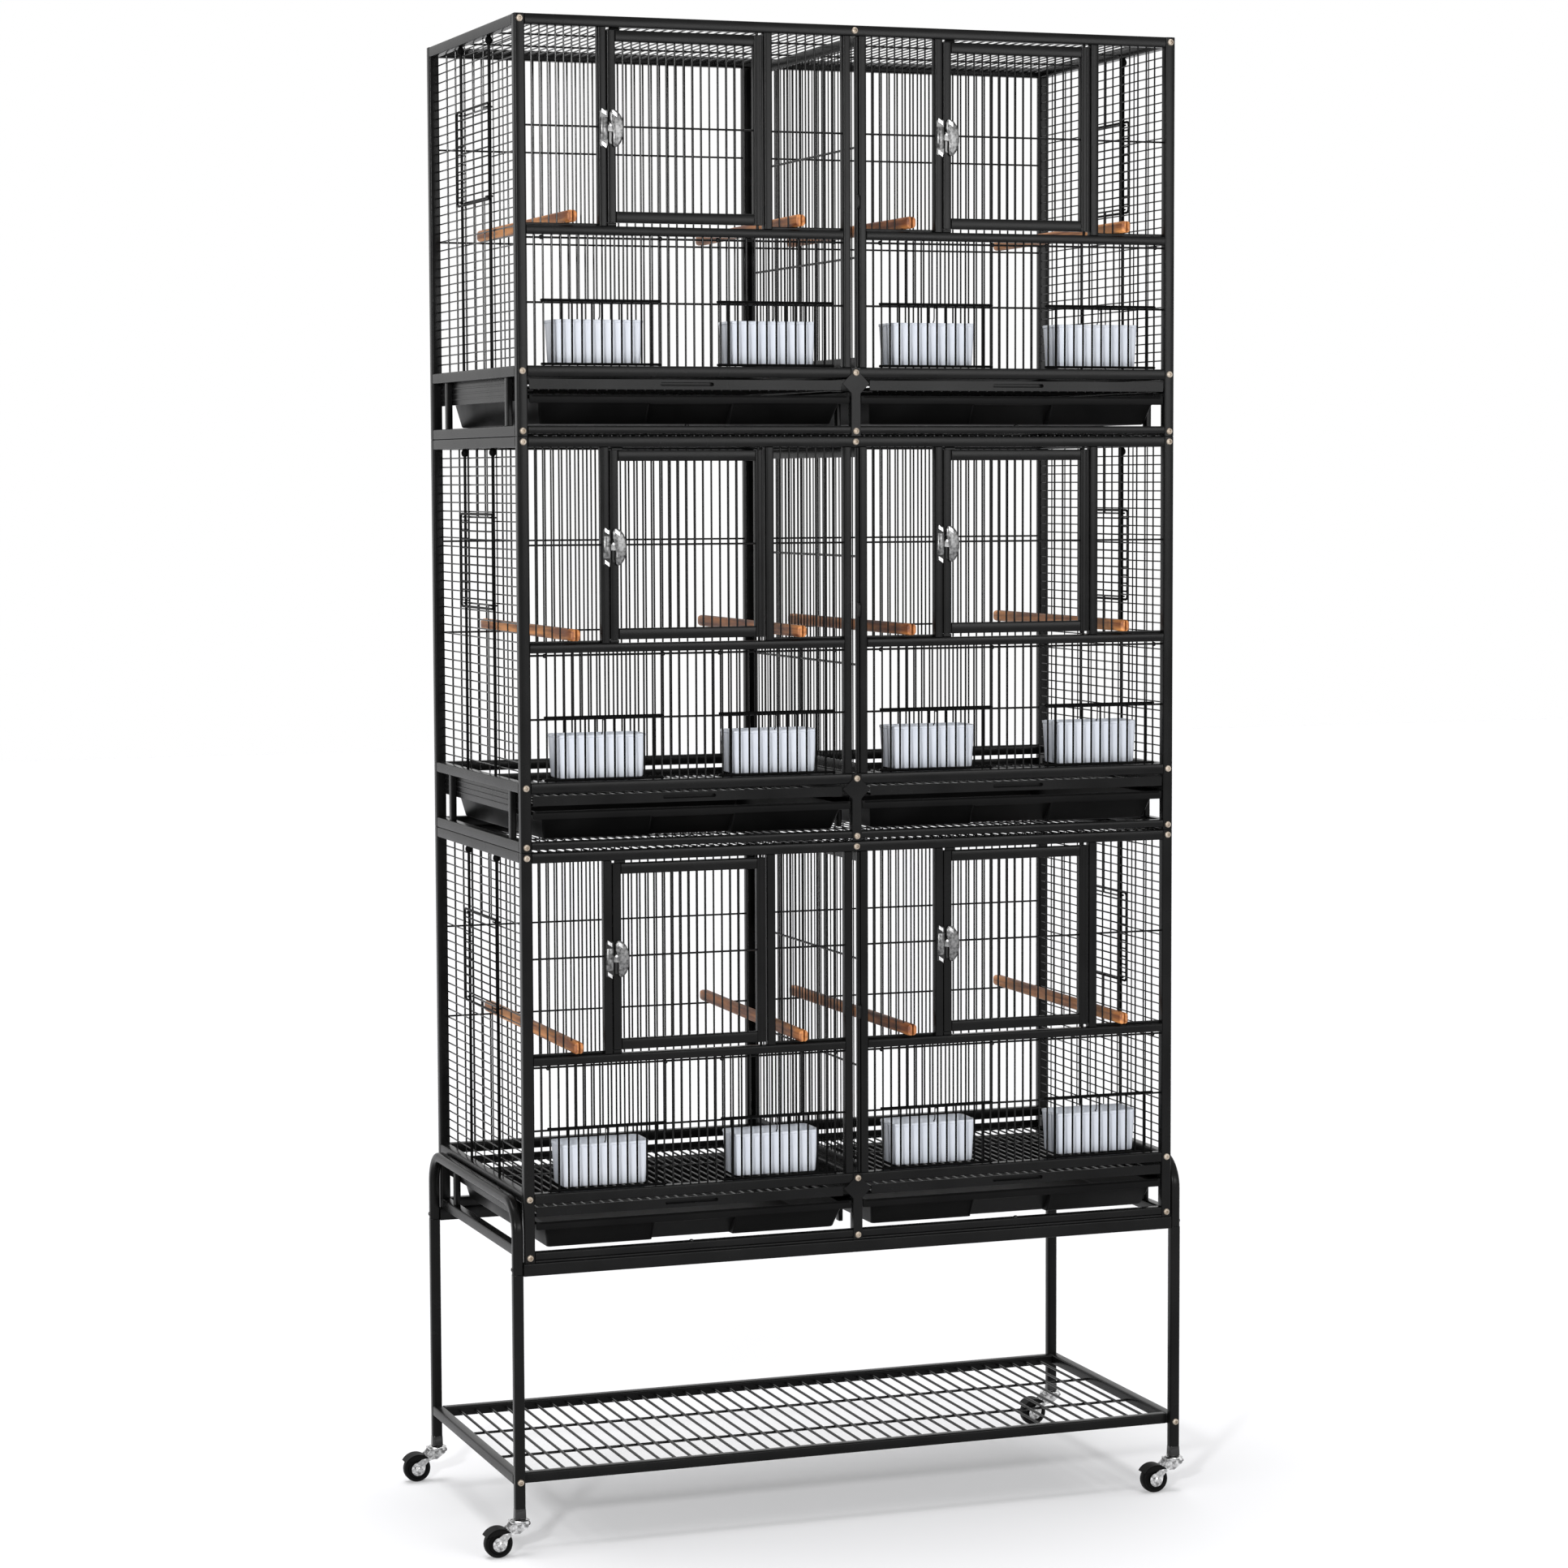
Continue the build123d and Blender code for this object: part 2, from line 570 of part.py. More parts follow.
# Tray: a tapered pan under a flat rim, with a band along the front of the rim
TRAY_W = DRAWER_OUT - TRAY_IN
BODY_W = TRAY_W - 2 * (RUNNER_LAP + RUNNER_SLACK)
BODY_Y = (DRAWER_FRONT, DRAWER_BACK - TRAY_RIM_BACK)
INSIDE_W = BODY_W - 2 * TRAY_WALL
INSIDE_Y = (BODY_Y[0] + TRAY_WALL, BODY_Y[1] - TRAY_WALL)
TRAY_TOP = TRAY_RIM_Z + TRAY_RIM_T
with BuildPart() as tray:
    add(pan_form(BODY_W - 2 * TRAY_END_SLOPE, BODY_W, *BODY_Y, TRAY_Z, TRAY_RIM_Z))
    with BuildSketch(Plane.XY.offset(TRAY_RIM_Z)):
        with Locations((0, (DRAWER_FRONT + DRAWER_BACK) / 2)):
            Rectangle(TRAY_W, DRAWER_BACK - DRAWER_FRONT)
    extrude(amount=TRAY_RIM_T)
    bar(
        (-TRAY_W / 2, TRAY_W / 2),
        (DRAWER_FRONT, DRAWER_FRONT + TRAY_WALL),
        (TRAY_RIM_Z - TRAY_BAND_H, TRAY_RIM_Z),
    )
    inside = pan_form(INSIDE_W - 2 * TRAY_END_SLOPE, INSIDE_W, *INSIDE_Y, TRAY_Z + TRAY_WALL, TRAY_TOP)
    add(inside, mode=Mode.SUBTRACT)

# Feed cup, hung by a strip on the wire above the feeder openings
CUP_Z = FLOOR_TOP + CUP_LIFT
CUP_TOP = CUP_Z + CUP_H
CUP_Y = FEED_WIRE_Y + WIRE_R + CLEAR
CUP_IN_W = CUP_W - 2 * CUP_WALL
with BuildPart() as feed_cup:
    with BuildSketch(Plane.XZ.offset(-CUP_Y)):
        pan_section(CUP_W - 2 * CUP_TAPER, CUP_W, CUP_Z, CUP_TOP)
    extrude(amount=-CUP_D)
    with BuildSketch(Plane.XZ.offset(-CUP_Y - CUP_WALL)):
        pan_section(CUP_IN_W - 2 * CUP_TAPER, CUP_IN_W, CUP_Z + CUP_WALL, CUP_TOP)
    extrude(amount=2 * CUP_WALL - CUP_D, mode=Mode.SUBTRACT)
    hook_z = FEED_WIRE_Z + WIRE_R + CLEAR
    hook_x = (-CUP_HOOK_W / 2, CUP_HOOK_W / 2)
    bar(hook_x, (CUP_Y, CUP_Y + CUP_HOOK_T), (CUP_TOP, hook_z + CUP_HOOK_T))
    bar(hook_x, (FEED_WIRE_Y - WIRE_R + CLEAR, CUP_Y), (hook_z, hook_z + CUP_HOOK_T))

# Perch, from the wire that holds its front end
with BuildPart() as perch:
    with BuildSketch(Plane.XZ.offset(WIRE_DEPTH + PERCH_FRONT)):
        with Locations((0, FIELD_LOW + CLEAR)):
            section = Rectangle(PERCH_W, PERCH_H, align=(Align.CENTER, Align.MIN))
        chamfer(section.vertices(), PERCH_CHAMFER)
    extrude(amount=-CAGE_D - PERCH_FRONT - PERCH_BACK)

# Pieces of every compartment
SIDE_SIGN = {"left": -1, "right": 1}
cups = []
perches = []
for tier in TIERS:
    feeder_number = 0
    for half in HALVES:
        left = PANEL_X[half]
        side = SIDE_SIGN[half]
        write(f"{tier}_{half}_front_door", [front_door.part.moved(tier_place(tier, left))])
        write(f"{tier}_{half}_door_latch", [door_latch.part.moved(tier_place(tier, left))])
        nest_x = side * (ROD_X + ROD_W / 2 + CLEAR + NEST_T / 2)
        write(f"{tier}_{half}_nest_door", [nest_door.part.moved(tier_place(tier, nest_x))])
        grille_x = side * (GRILLE_IN + DRAWER_OUT) / 2
        grille_place = tier_place(tier, grille_x)
        write(f"{tier}_{half}_floor_grille", [piece.moved(grille_place) for piece in floor_grille])
        tray_x = side * (TRAY_IN + DRAWER_OUT) / 2
        write(f"{tier}_{half}_tray", [tray.part.moved(tier_place(tier, tray_x))])
        for x in FEEDER_X:
            feeder_number += 1
            write(f"{tier}_feeder_door_{feeder_number}", [feeder_door.part.moved(tier_place(tier, left + x))])
            cups.append(feed_cup.part.moved(tier_place(tier, left + x)))
        for x, lean in zip(PERCH_X, PERCH_LEAN[half]):
            turn = Location((0, 0, 0), (0, 0, -degrees(atan2(lean, 2 * WIRE_Y))))
            perches.append(perch.part.moved(tier_place(tier, left + x, -WIRE_Y) * turn))
    write(f"{tier}_divider", [divider.part.moved(tier_place(tier, DIVIDER_X))])
write("feed_cups", cups)
write("perches", perches)

# Rolling stand: legs, hoops round the lowest cage, the frame under it, and the shelf
with BuildPart() as legs:
    sleeve_z = STAND_H - HOOP_SLEEVE
    for span in both(LEG_X - TUBE / 2, LEG_X + TUBE / 2):
        for y in (-LEG_Y, LEG_Y):
            bar(span, (y - TUBE / 2, y + TUBE / 2), (LEG_BOTTOM, sleeve_z))
    with Locations(*[(x, y, LEG_BOTTOM) for x in (-LEG_X, LEG_X) for y in (-LEG_Y, LEG_Y)]):
        Cylinder(
            STEM_R + PIVOT_CLEAR,
            STEM_L,
            align=(Align.CENTER, Align.CENTER, Align.MIN),
            mode=Mode.SUBTRACT,
        )

with BuildPart() as hoop:
    with BuildSketch(Plane.YZ.offset(-TUBE / 2)):
        for side, mode in ((1, Mode.ADD), (-1, Mode.SUBTRACT)):
            width = 2 * LEG_Y + side * TUBE
            height = HOOP_RISE + HOOP_SLEEVE - TUBE * (1 - side) / 2
            with BuildSketch(mode=mode) as bend:
                with Locations((0, sleeve_z)):
                    Rectangle(width, height, align=(Align.CENTER, Align.MIN))
                fillet(bend.vertices().group_by(Axis.Y)[-1], HOOP_BEND_R + side * TUBE / 2)
    extrude(amount=TUBE)

RAIL_X = (-LEG_X + TUBE / 2, LEG_X - TUBE / 2)
SHELF_RAIL_Y = LEG_Y - TUBE
with BuildPart() as stand_rails:
    for y in (-LEG_Y, LEG_Y):
        bar(RAIL_X, (y - TUBE / 2, y + TUBE / 2), (STAND_H - SEAT_RAIL_H, STAND_H))
    for y in (-SHELF_RAIL_Y, SHELF_RAIL_Y):
        bar(RAIL_X, (y - TUBE / 2, y + TUBE / 2), (SHELF_Z, SHELF_Z + TUBE))

RAIL_Y = (-LEG_Y + TUBE / 2, LEG_Y - TUBE / 2)
with BuildPart() as shelf_side_rails:
    for span in both(LEG_X - TUBE / 2, LEG_X + TUBE / 2):
        bar(span, RAIL_Y, (SHELF_Z, SHELF_Z + TUBE))

shelf_level = SHELF_Z + TUBE / 2
shelf_inside = SHELF_RAIL_Y - TUBE / 2
shelf_places = [(x, shelf_level) for x in spread(*RAIL_X, FRONT_STEP, SHELF_WIRE_PITCH)]
shelf_wires = [
    depth_wires(shelf_places, -shelf_inside, shelf_inside),
    cross_wires([(y, shelf_level - WIRE_D) for y in (-SHELF_CROSS_Y, SHELF_CROSS_Y)], *RAIL_X),
]
hoops = [hoop.part.moved(Location((x, 0, 0))) for x in (-LEG_X, LEG_X)]
stand_pieces = [legs.part, stand_rails.part, shelf_side_rails.part] + hoops + shelf_wires
write("rolling_stand", [piece.moved(Location((MIDDLE_X, 0, 0))) for piece in stand_pieces])

# Casters: a fork that swivels on its stem, and a wheel on the fork's axle
PLATE_TOP = LEG_BOTTOM - CLEAR
PLATE_Z = PLATE_TOP - FORK_PLATE_T
CHEEK_IN = WHEEL_W / 2 + CHEEK_GAP
FORK_W = 2 * (CHEEK_IN + CHEEK_T)
with BuildPart() as caster_fork:
    with BuildSketch(Plane.XY.offset(PLATE_Z)):
        plate = Rectangle(FORK_PLATE_W, FORK_W)
        chamfer(plate.vertices(), FORK_PLATE_CHAMFER)
    extrude(amount=FORK_PLATE_T)
    for offset in (FORK_W / 2, -CHEEK_IN):
        with BuildSketch(Plane.XZ.offset(offset)):
            Polygon(
                (-CHEEK_W / 2, PLATE_Z),
                (CHEEK_W / 2, PLATE_Z),
                (-CASTER_TRAIL + CHEEK_W / 2, WHEEL_R - CHEEK_W / 2),
                (-CASTER_TRAIL - CHEEK_W / 2, WHEEL_R - CHEEK_W / 2),
                (-CASTER_TRAIL - CHEEK_W / 2, WHEEL_R + CHEEK_W / 2),
                align=None,
            )
        extrude(amount=-CHEEK_T)
    with BuildSketch(Plane.XZ.offset(CHEEK_IN)):
        with Locations((-CASTER_TRAIL, WHEEL_R)):
            Circle(AXLE_R)
    extrude(amount=-2 * CHEEK_IN)
    with BuildSketch(Plane.XY.offset(PLATE_TOP)):
        Circle(STEM_R)
    extrude(amount=STEM_L)

with BuildPart() as caster_wheel:
    with BuildSketch(Plane.XZ.offset(WHEEL_W / 2)):
        with Locations((-CASTER_TRAIL, WHEEL_R)):
            Circle(WHEEL_R)
            Circle(AXLE_R + PIVOT_CLEAR, mode=Mode.SUBTRACT)
    extrude(amount=-WHEEL_W)

for depth_name, y in (("front", -LEG_Y), ("back", LEG_Y)):
    for half, x in (("left", -LEG_X), ("right", LEG_X)):
        place = Location((MIDDLE_X + x, y, 0))
        write(f"{depth_name}_{half}_caster_fork", [caster_fork.part.moved(place)])
        write(f"{depth_name}_{half}_caster_wheel", [caster_wheel.part.moved(place)])
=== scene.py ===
import math

import bmesh
import bpy
import numpy as np
from mathutils import Matrix, Vector


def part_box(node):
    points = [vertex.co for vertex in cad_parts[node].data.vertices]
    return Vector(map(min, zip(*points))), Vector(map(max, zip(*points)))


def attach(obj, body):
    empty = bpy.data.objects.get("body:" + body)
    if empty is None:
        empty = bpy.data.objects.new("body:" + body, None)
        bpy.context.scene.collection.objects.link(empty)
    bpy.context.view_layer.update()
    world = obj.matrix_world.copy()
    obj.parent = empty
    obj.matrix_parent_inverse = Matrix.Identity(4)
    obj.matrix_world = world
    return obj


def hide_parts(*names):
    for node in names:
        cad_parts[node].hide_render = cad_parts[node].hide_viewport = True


# The looks of the stacked breeding bird cage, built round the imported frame.
# Shapes are drawn in millimetres. Inside one cage x runs from its middle, y from front to back,
# and z from its underside; a panel's own x starts at its left edge. A pair of numbers on one axis
# is a span.

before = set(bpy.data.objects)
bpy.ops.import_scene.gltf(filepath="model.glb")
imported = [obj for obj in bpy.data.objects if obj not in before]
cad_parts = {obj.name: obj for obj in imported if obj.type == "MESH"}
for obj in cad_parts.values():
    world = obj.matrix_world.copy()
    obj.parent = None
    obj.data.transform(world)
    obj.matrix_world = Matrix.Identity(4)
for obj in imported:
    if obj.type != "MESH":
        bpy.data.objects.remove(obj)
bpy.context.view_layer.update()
SCENE = bpy.context.scene
MM = 0.001
X, Y, Z = range(3)
SIDES = (-1, 1)
BLACK = "black_paint"


def node_box(node):
    """Lowest and highest corner of a solid of the frame, in millimetres."""
    low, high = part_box(node)
    return np.array(low) / MM, np.array(high) / MM


# Main sizes, read from the frame
TIERS = ("bottom", "middle", "top")
HALVES = ("left", "right")
SIDE_SIGN = dict(zip(HALVES, SIDES))
CAGES_LOW, CAGES_HIGH = node_box("side_panels")
STAND_LOW, STAND_HIGH = node_box("rolling_stand")
MIDDLE_X = (CAGES_LOW[X] + CAGES_HIGH[X]) / 2
STAND_H = CAGES_LOW[Z]
CAGE_H = (CAGES_HIGH[Z] - CAGES_LOW[Z]) / len(TIERS)
HALF_W = (CAGES_HIGH[X] - CAGES_LOW[X]) / 2
HALF_D = node_box("back_and_top_panels")[1][Y]
TUBE = HALF_D - CAGES_HIGH[Y]
IN_X = HALF_W - TUBE
IN_Y = HALF_D - TUBE
INNER_X = (-IN_X, IN_X)
INNER_Y = (-IN_Y, IN_Y)
FRONT_Y = (-HALF_D, -IN_Y)
BACK_Y = (IN_Y, HALF_D)
POST_X = (-TUBE / 2, TUBE / 2)

# Rails and panels
FLOOR_RAIL_Z = 77.4
FLOOR_TOP = FLOOR_RAIL_Z + TUBE
MID_TOP = 271.6
MID_RAIL_Z = MID_TOP - 11.5
TOP_RAIL_Z = CAGE_H - TUBE
RAIL_LEVELS = (0, FLOOR_RAIL_Z, TOP_RAIL_Z)
BASE_Z = (TUBE, FLOOR_RAIL_Z)
OPEN_Z = (FLOOR_TOP, TOP_RAIL_Z)
SEAM = 3.6
SLOT_W = 11.4
SLOT_STILE_W = 10.8
PANEL_W = HALF_W - SLOT_W / 2 - SLOT_STILE_W + TUBE
PANEL_X = {"left": -HALF_W, "right": HALF_W - PANEL_W}
PANEL_IN = (TUBE, PANEL_W - TUBE)
STRIKE_STILE = (112, 123)
HINGE_STILE = (339.7, 351)
FIELDS = ((TUBE, STRIKE_STILE[0]), (HINGE_STILE[1], PANEL_W - TUBE))
FIELD_GAPS = (9, 8)
FIELD_SILL = 3.6
FIELD_LOW = MID_TOP + FIELD_SILL
CENTRE_POST_W = 12
CLEAR = 0.3

# Wires
WIRE_R = 1.3
FIELD_WIRE_R = 1.15
LONG_WIRE_R = 1.4
SIDE_WIRE_R = 0.95
TOP_WIRE_R = 1
WIRE_SIDES = 8
WIRE_Y = HALF_D - 9.5
CROSS_Y = WIRE_Y - 2 * WIRE_R
FEED_WIRE_Z = 173
HEAD_WIRE_Z = 256.5
CROSS_WIRE_Z = 400
TOP_WIRE_Z = CAGE_H - TUBE / 2
MESH_GAPS = 36
TOP_GAPS = 72
SIDE_WIRE_X = HALF_W - 11.5
ROD_R = 2
ROD_X = SIDE_WIRE_X + WIRE_R + ROD_R
ROD_Y = 70
PAIR_Y = (-ROD_Y, ROD_Y)
FEEDER_X = (116, PANEL_W - 107.5)
FEEDER_OPEN = 132

# Round edges, from tubes down to sheet metal
TUBE_EDGE = 2
BAR_EDGE = 1.2
FLAT_EDGE = 1
FOOT_EDGE = 0.8
LEDGE_EDGE = 0.6
STRIP_EDGE = 0.5
WEB_EDGE = 0.4
LEAF_EDGE = 0.3
END_SOFT = 0.5
PLATE_SOFT = 0.4
LEAST_SIDE = 0.01
LEAST_MITRE = 0.5

# Sides of turned pieces
BALL_SIDES = 14
STUD_SIDES = 16
BOLT_SIDES = 20
RACE_SIDES = 28
TREAD_SIDES = 32


# Points and faces

def loft(loops, closed=False):
    """The skin over loops of equal count, with flat ends or closed to a ring."""
    count = len(loops[0])
    rows = len(loops)
    faces = []
    for row in range(rows if closed else rows - 1):
        start = row * count
        upper = (row + 1) % rows * count
        for i in range(count):
            j = (i + 1) % count
            faces.append((start + i, start + j, upper + j, upper + i))
    if not closed:
        faces.append(tuple(range(count)))
        faces.append(tuple(range((rows - 1) * count, rows * count)))
    return np.concatenate(loops), faces


def around(middle, half):
    """The span on both sides of a middle."""
    return middle - half, middle + half


def spread(span, gaps):
    """The places between a row of even gaps."""
    low, high = span
    return [low + (high - low) * i / gaps for i in range(1, gaps)]


def arc(middle, radius, start, end, steps):
    """Points on a circle in a plane, between two angles in degrees."""
    angles = np.radians(np.linspace(start, end, steps + 1))
    return [(middle[0] + radius * math.cos(a), middle[1] + radius * math.sin(a)) for a in angles]


def rounded(width, height, radius, steps=3):
    """A rectangle round its own middle, with round corners."""
    radius = min(radius, width / 2 - LEAST_SIDE, height / 2 - LEAST_SIDE)
    points = []
    for quarter, (sx, sy) in enumerate(((1, 1), (-1, 1), (-1, -1), (1, -1))):
        corner = (sx * (width / 2 - radius), sy * (height / 2 - radius))
        points += arc(corner, radius, 90 * quarter, 90 * quarter + 90, steps)
    return np.array(points)


def circle(radius, sides):
    """A circle round its own middle."""
    angles = 2 * math.pi * np.arange(sides) / sides
    return radius * np.stack([np.cos(angles), np.sin(angles)], axis=1)


def symmetric(half):
    """An outline from its points on one side of the upright axis."""
    return np.array(half + [(-x, y) for x, y in reversed(half)])


def unit(vectors):
    return vectors / np.linalg.norm(vectors, axis=1)[:, None]


def inset(outline, depth):
    """An outline drawn in by a depth, square to its sides."""
    outline = np.array(outline, float)
    before = unit(outline - np.roll(outline, 1, axis=0))
    middle = unit(before + unit(np.roll(outline, -1, axis=0) - outline))
    turn = np.clip(np.abs((before * middle).sum(axis=1)), LEAST_MITRE, 1)
    x, y = outline.T
    area = np.sum(x * np.roll(y, -1) - np.roll(x, -1) * y)
    return outline + middle[:, ::-1] * (-1, 1) * (math.copysign(depth, area) / turn)[:, None]


def level(outline, axis, height, middle=(0, 0)):
    """An outline in space, square to an axis and at a height along it."""
    u, v = [a for a in (X, Y, Z) if a != axis]
    loop = np.empty((len(outline), 3))
    loop[:, axis] = height
    loop[:, u] = outline[:, 0] + middle[0]
    loop[:, v] = outline[:, 1] + middle[1]
    return loop


def capped(outline, small, axis, span, soft, middle=(0, 0)):
    """A straight piece of one outline along an axis, with smaller ends."""
    low, high = span
    stops = ((small, low), (outline, low + soft), (outline, high - soft), (small, high))
    return loft([level(shape, axis, height, middle) for shape, height in stops])


def beam(x, y, z, edge=TUBE_EDGE):
    """A square tube or bar over three spans, with round edges and softened ends."""
    low, high = np.sort(np.array((x, y, z), float), axis=1).T
    size = high - low
    axis = int(np.argmax(size))
    u, v = [a for a in (X, Y, Z) if a != axis]
    outline = rounded(size[u], size[v], edge)
    small = outline * (1 - 2 * END_SOFT / size[[u, v]])
    middle = ((low[u] + high[u]) / 2, (low[v] + high[v]) / 2)
    return capped(outline, small, axis, (low[axis], high[axis]), END_SOFT, middle)


def plate(outline, axis, span, soft=PLATE_SOFT):
    """A flat plate of some outline over a span, with softened edges."""
    return capped(np.array(outline, float), inset(outline, soft), axis, span, soft)


def tag(middle, size, corner, axis, span, steps=5):
    """A flat plate with round corners."""
    return plate(rounded(*size, corner, steps) + np.array(middle), axis, span)


def sweep(path, outline, side=None):
    """An outline carried along a path; side is the direction of its first axis, or None for any."""
    path = np.array(path, float)
    steps = unit(np.diff(path, axis=0))
    tangents = unit(np.concatenate([steps[:1], steps[:-1] + steps[1:], steps[-1:]]))
    if side is None:
        side = np.roll(np.eye(3)[np.argmax(np.abs(steps[0]))], 1)
    normal = np.array(side, float)
    loops = []
    for point, tangent in zip(path, tangents):
        normal = normal - tangent * (normal @ tangent)
        normal /= np.linalg.norm(normal)
        other = np.cross(tangent, normal)
        loops.append(point + outline[:, :1] * normal + outline[:, 1:] * other)
    return loft(loops)


def wire(path, radius=WIRE_R):
    """A round wire along a path."""
    return sweep(path, circle(radius, WIRE_SIDES))


def rod(x, y, z, radius=WIRE_R):
    """A straight wire along the axis on which it has a span."""
    return wire(np.stack(np.broadcast_arrays(x, y, z), axis=1), radius)


def at_x(x, line):
    """A path in space from a line of y and z."""
    return [(x, y, z) for y, z in line]


def lathe(profile, axis, middle, sides, closed=False):
    """A profile of radius and height, turned round an axis."""
    return loft([level(circle(radius, sides), axis, height, middle) for radius, height in profile], closed)


def raised(profile, height, sign=1):
    """A profile that starts from some height, up or down."""
    return [(radius, height + sign * rise) for radius, rise in profile]


POLE_R = 0.03
BALL_ANGLES = np.linspace(0, math.pi, 9)


def ball(radius, half, height=0):
    """The profile of a ball or barrel, from its radius, half length and middle."""
    return [(radius * max(math.sin(a), POLE_R), height - half * math.cos(a)) for a in BALL_ANGLES]


def moved(part, x):
    """A copy of points and faces further along x."""
    return part[0] + np.array((x, 0, 0)), part[1]


def turned(part, angle, x, y):
    """A copy turned to the right about an upright line, by an angle in radians."""
    foot = np.array((x, y, 0))
    cos, sin = math.cos(angle), math.sin(angle)
    return (part[0] - foot) @ np.array(((cos, -sin, 0), (sin, cos, 0), (0, 0, 1))) + foot, part[1]


def mirrored(parts):
    """Mirror images across the middle of the cage."""
    return [(points * np.array((-1, 1, 1)), faces) for points, faces in parts]


def in_panels(parts):
    """The parts of one front panel, in both panels of a cage."""
    return [moved(part, left) for left in PANEL_X.values() for part in parts]


# Materials

PATCH_STOPS = (0.3, 0.7)
GLOSS_STOPS = (0.25, 0.75)
GRAIN_DETAIL = 2
GRAIN_DEPTH = 0.0003


def feed(tree, node, inputs):
    """Put values, or the outputs of other nodes, on a node's inputs."""
    for socket, value in inputs.items():
        if isinstance(value, bpy.types.NodeSocket):
            tree.links.new(value, node.inputs[socket])
        else:
            node.inputs[socket].default_value = value


def assign(thing, settings):
    for name, value in settings.items():
        setattr(thing, name, value)


def add(tree, kind, output, inputs, **settings):
    """One output of a new node, from its settings and inputs."""
    node = tree.nodes.new(f"ShaderNode{kind}")
    assign(node, settings)
    feed(tree, node, inputs)
    return node.outputs[output]


def new_material(name):
    """A node material with its tree and its shader."""
    material = bpy.data.materials.new(name)
    material.use_nodes = True
    return material, material.node_tree, material.node_tree.nodes["Principled BSDF"]


def noise(tree, scale, detail=4, stretch=(1, 1, 1)):
    """A noise texture in object space, stretched along the axes."""
    coords = add(tree, "TexCoord", "Object", {})
    vector = add(tree, "Mapping", "Vector", {"Vector": coords, "Scale": stretch})
    return add(tree, "TexNoise", "Fac", {"Vector": vector, "Scale": scale, "Detail": detail})


def ramp(tree, value, places, colours):
    """A colour, or a grey from one number, for a value between two places."""
    node = tree.nodes.new("ShaderNodeValToRGB")
    for element, at, colour in zip(node.color_ramp.elements, places, colours):
        element.position = at
        element.color = (*np.broadcast_to(colour, 3), 1)
    feed(tree, node, {"Fac": value})
    return node.outputs["Color"]


def bump(tree, value, strength, distance):
    """Small relief from a value."""
    return add(tree, "Bump", "Normal", {"Height": value, "Strength": strength, "Distance": distance})


def coated(name, dark, light, rough, grain=1400, relief=0.04, metallic=0, specular=0.5, spots=14):
    """A finish with patches between two colours, uneven gloss and a fine grain; on the chrome copies the
    patches are painted reflections.
    """
    material, tree, shader = new_material(name)
    patches = noise(tree, spots)
    feed(tree, shader, {
        "Base Color": ramp(tree, patches, PATCH_STOPS, (dark, light)),
        "Roughness": ramp(tree, patches, GLOSS_STOPS, rough),
        "Metallic": metallic,
        "Specular IOR Level": specular,
        "Normal": bump(tree, noise(tree, grain, GRAIN_DETAIL), relief, GRAIN_DEPTH),
    })
    return material


# Scale, detail and stretch of the wood's noise, and the places of its colours
FIBRES = (120, 6, (1, 0.06, 1))
FIBRE_STOPS = (0.38, 0.60)
FIBRE_COLOURS = ((0.20, 0.06, 0.015), (0.72, 0.30, 0.09))
FIBRE_RELIEF = 0.35
FIBRE_DEPTH = 0.0004
RINGS = (26, 2, (1, 0.12, 1))
RING_STOPS = (0.38, 0.58)
RING_COLOURS = ((0.46, 0.34, 0.26), (1, 1, 1))
RING_SHARE = 0.75
WOOD_ROUGH = 0.55


def wood_material():
    """Bare sanded wood: fibres along the perch, darker rings and a fine grain."""
    material, tree, shader = new_material("perch_wood")
    fibres = noise(tree, *FIBRES)
    layers = {
        "Factor": RING_SHARE,
        "A": ramp(tree, fibres, FIBRE_STOPS, FIBRE_COLOURS),
        "B": ramp(tree, noise(tree, *RINGS), RING_STOPS, RING_COLOURS),
    }
    feed(tree, shader, {
        "Base Color": add(tree, "Mix", "Result", layers, data_type="RGBA", blend_type="MULTIPLY"),
        "Roughness": WOOD_ROUGH,
        "Normal": bump(tree, fibres, FIBRE_RELIEF, FIBRE_DEPTH),
    })
    return material


PAINT = coated(BLACK, 0.003, 0.006, (0.22, 0.30), relief=0.06, specular=0.1)
WIRE_PAINT = coated("wire_paint", 0.003, 0.006, (0.20, 0.28), specular=0.15)
ROD_PAINT = coated("rod_paint", 0.002, 0.004, (0.30, 0.40), specular=0.02)
GRILLE_PAINT = coated("grille_paint", 0.004, 0.008, (0.24, 0.34), specular=0.8)
GLOSS_BLACK = coated("gloss_black", 0.002, 0.004, (0.06, 0.12), 900)
# The chrome's dark and light patches are painted reflections of the things round it.
CHROME_WITH_PAINTED_REFLECTIONS = coated("chrome", 0.10, 0.86, (0.10, 0.26), 700, 0.08, 1, spots=240)
# Two more copies of the chrome: a lighter one as painted highlight and a darker one as painted shade, both
# with patches of painted reflection.
LIT_CHROME_WITH_PAINTED_REFLECTIONS = coated("lit_chrome_painted_reflections", 0.48, 0.80, (0.22, 0.32), 700, 0.05, 1, spots=240)
SHADED_CHROME_WITH_PAINTED_REFLECTIONS = coated("shaded_chrome_painted_reflections", 0.04, 0.22, (0.26, 0.40), 700, 0.10, 1, spots=240)
ZINC = coated("zinc", (0.26, 0.21, 0.16), (0.50, 0.44, 0.37), (0.40, 0.55), 900, 0.10, 0.7, spots=160)
CUP_WHITE = coated("cup_plastic", (0.62, 0.66, 0.73), (0.70, 0.73, 0.79), (0.28, 0.40), 600, 0.05)
TRAY_BLACK = coated("tray_plastic", 0.002, 0.004, (0.34, 0.46), 1600, 0.12, specular=0.06)
RUBBER = coated("wheel_rubber", 0.002, 0.004, (0.45, 0.60), 1100, 0.2, specular=0.08)
WOOD = wood_material()


# Pieces

SHARP_ANGLE = math.radians(38)


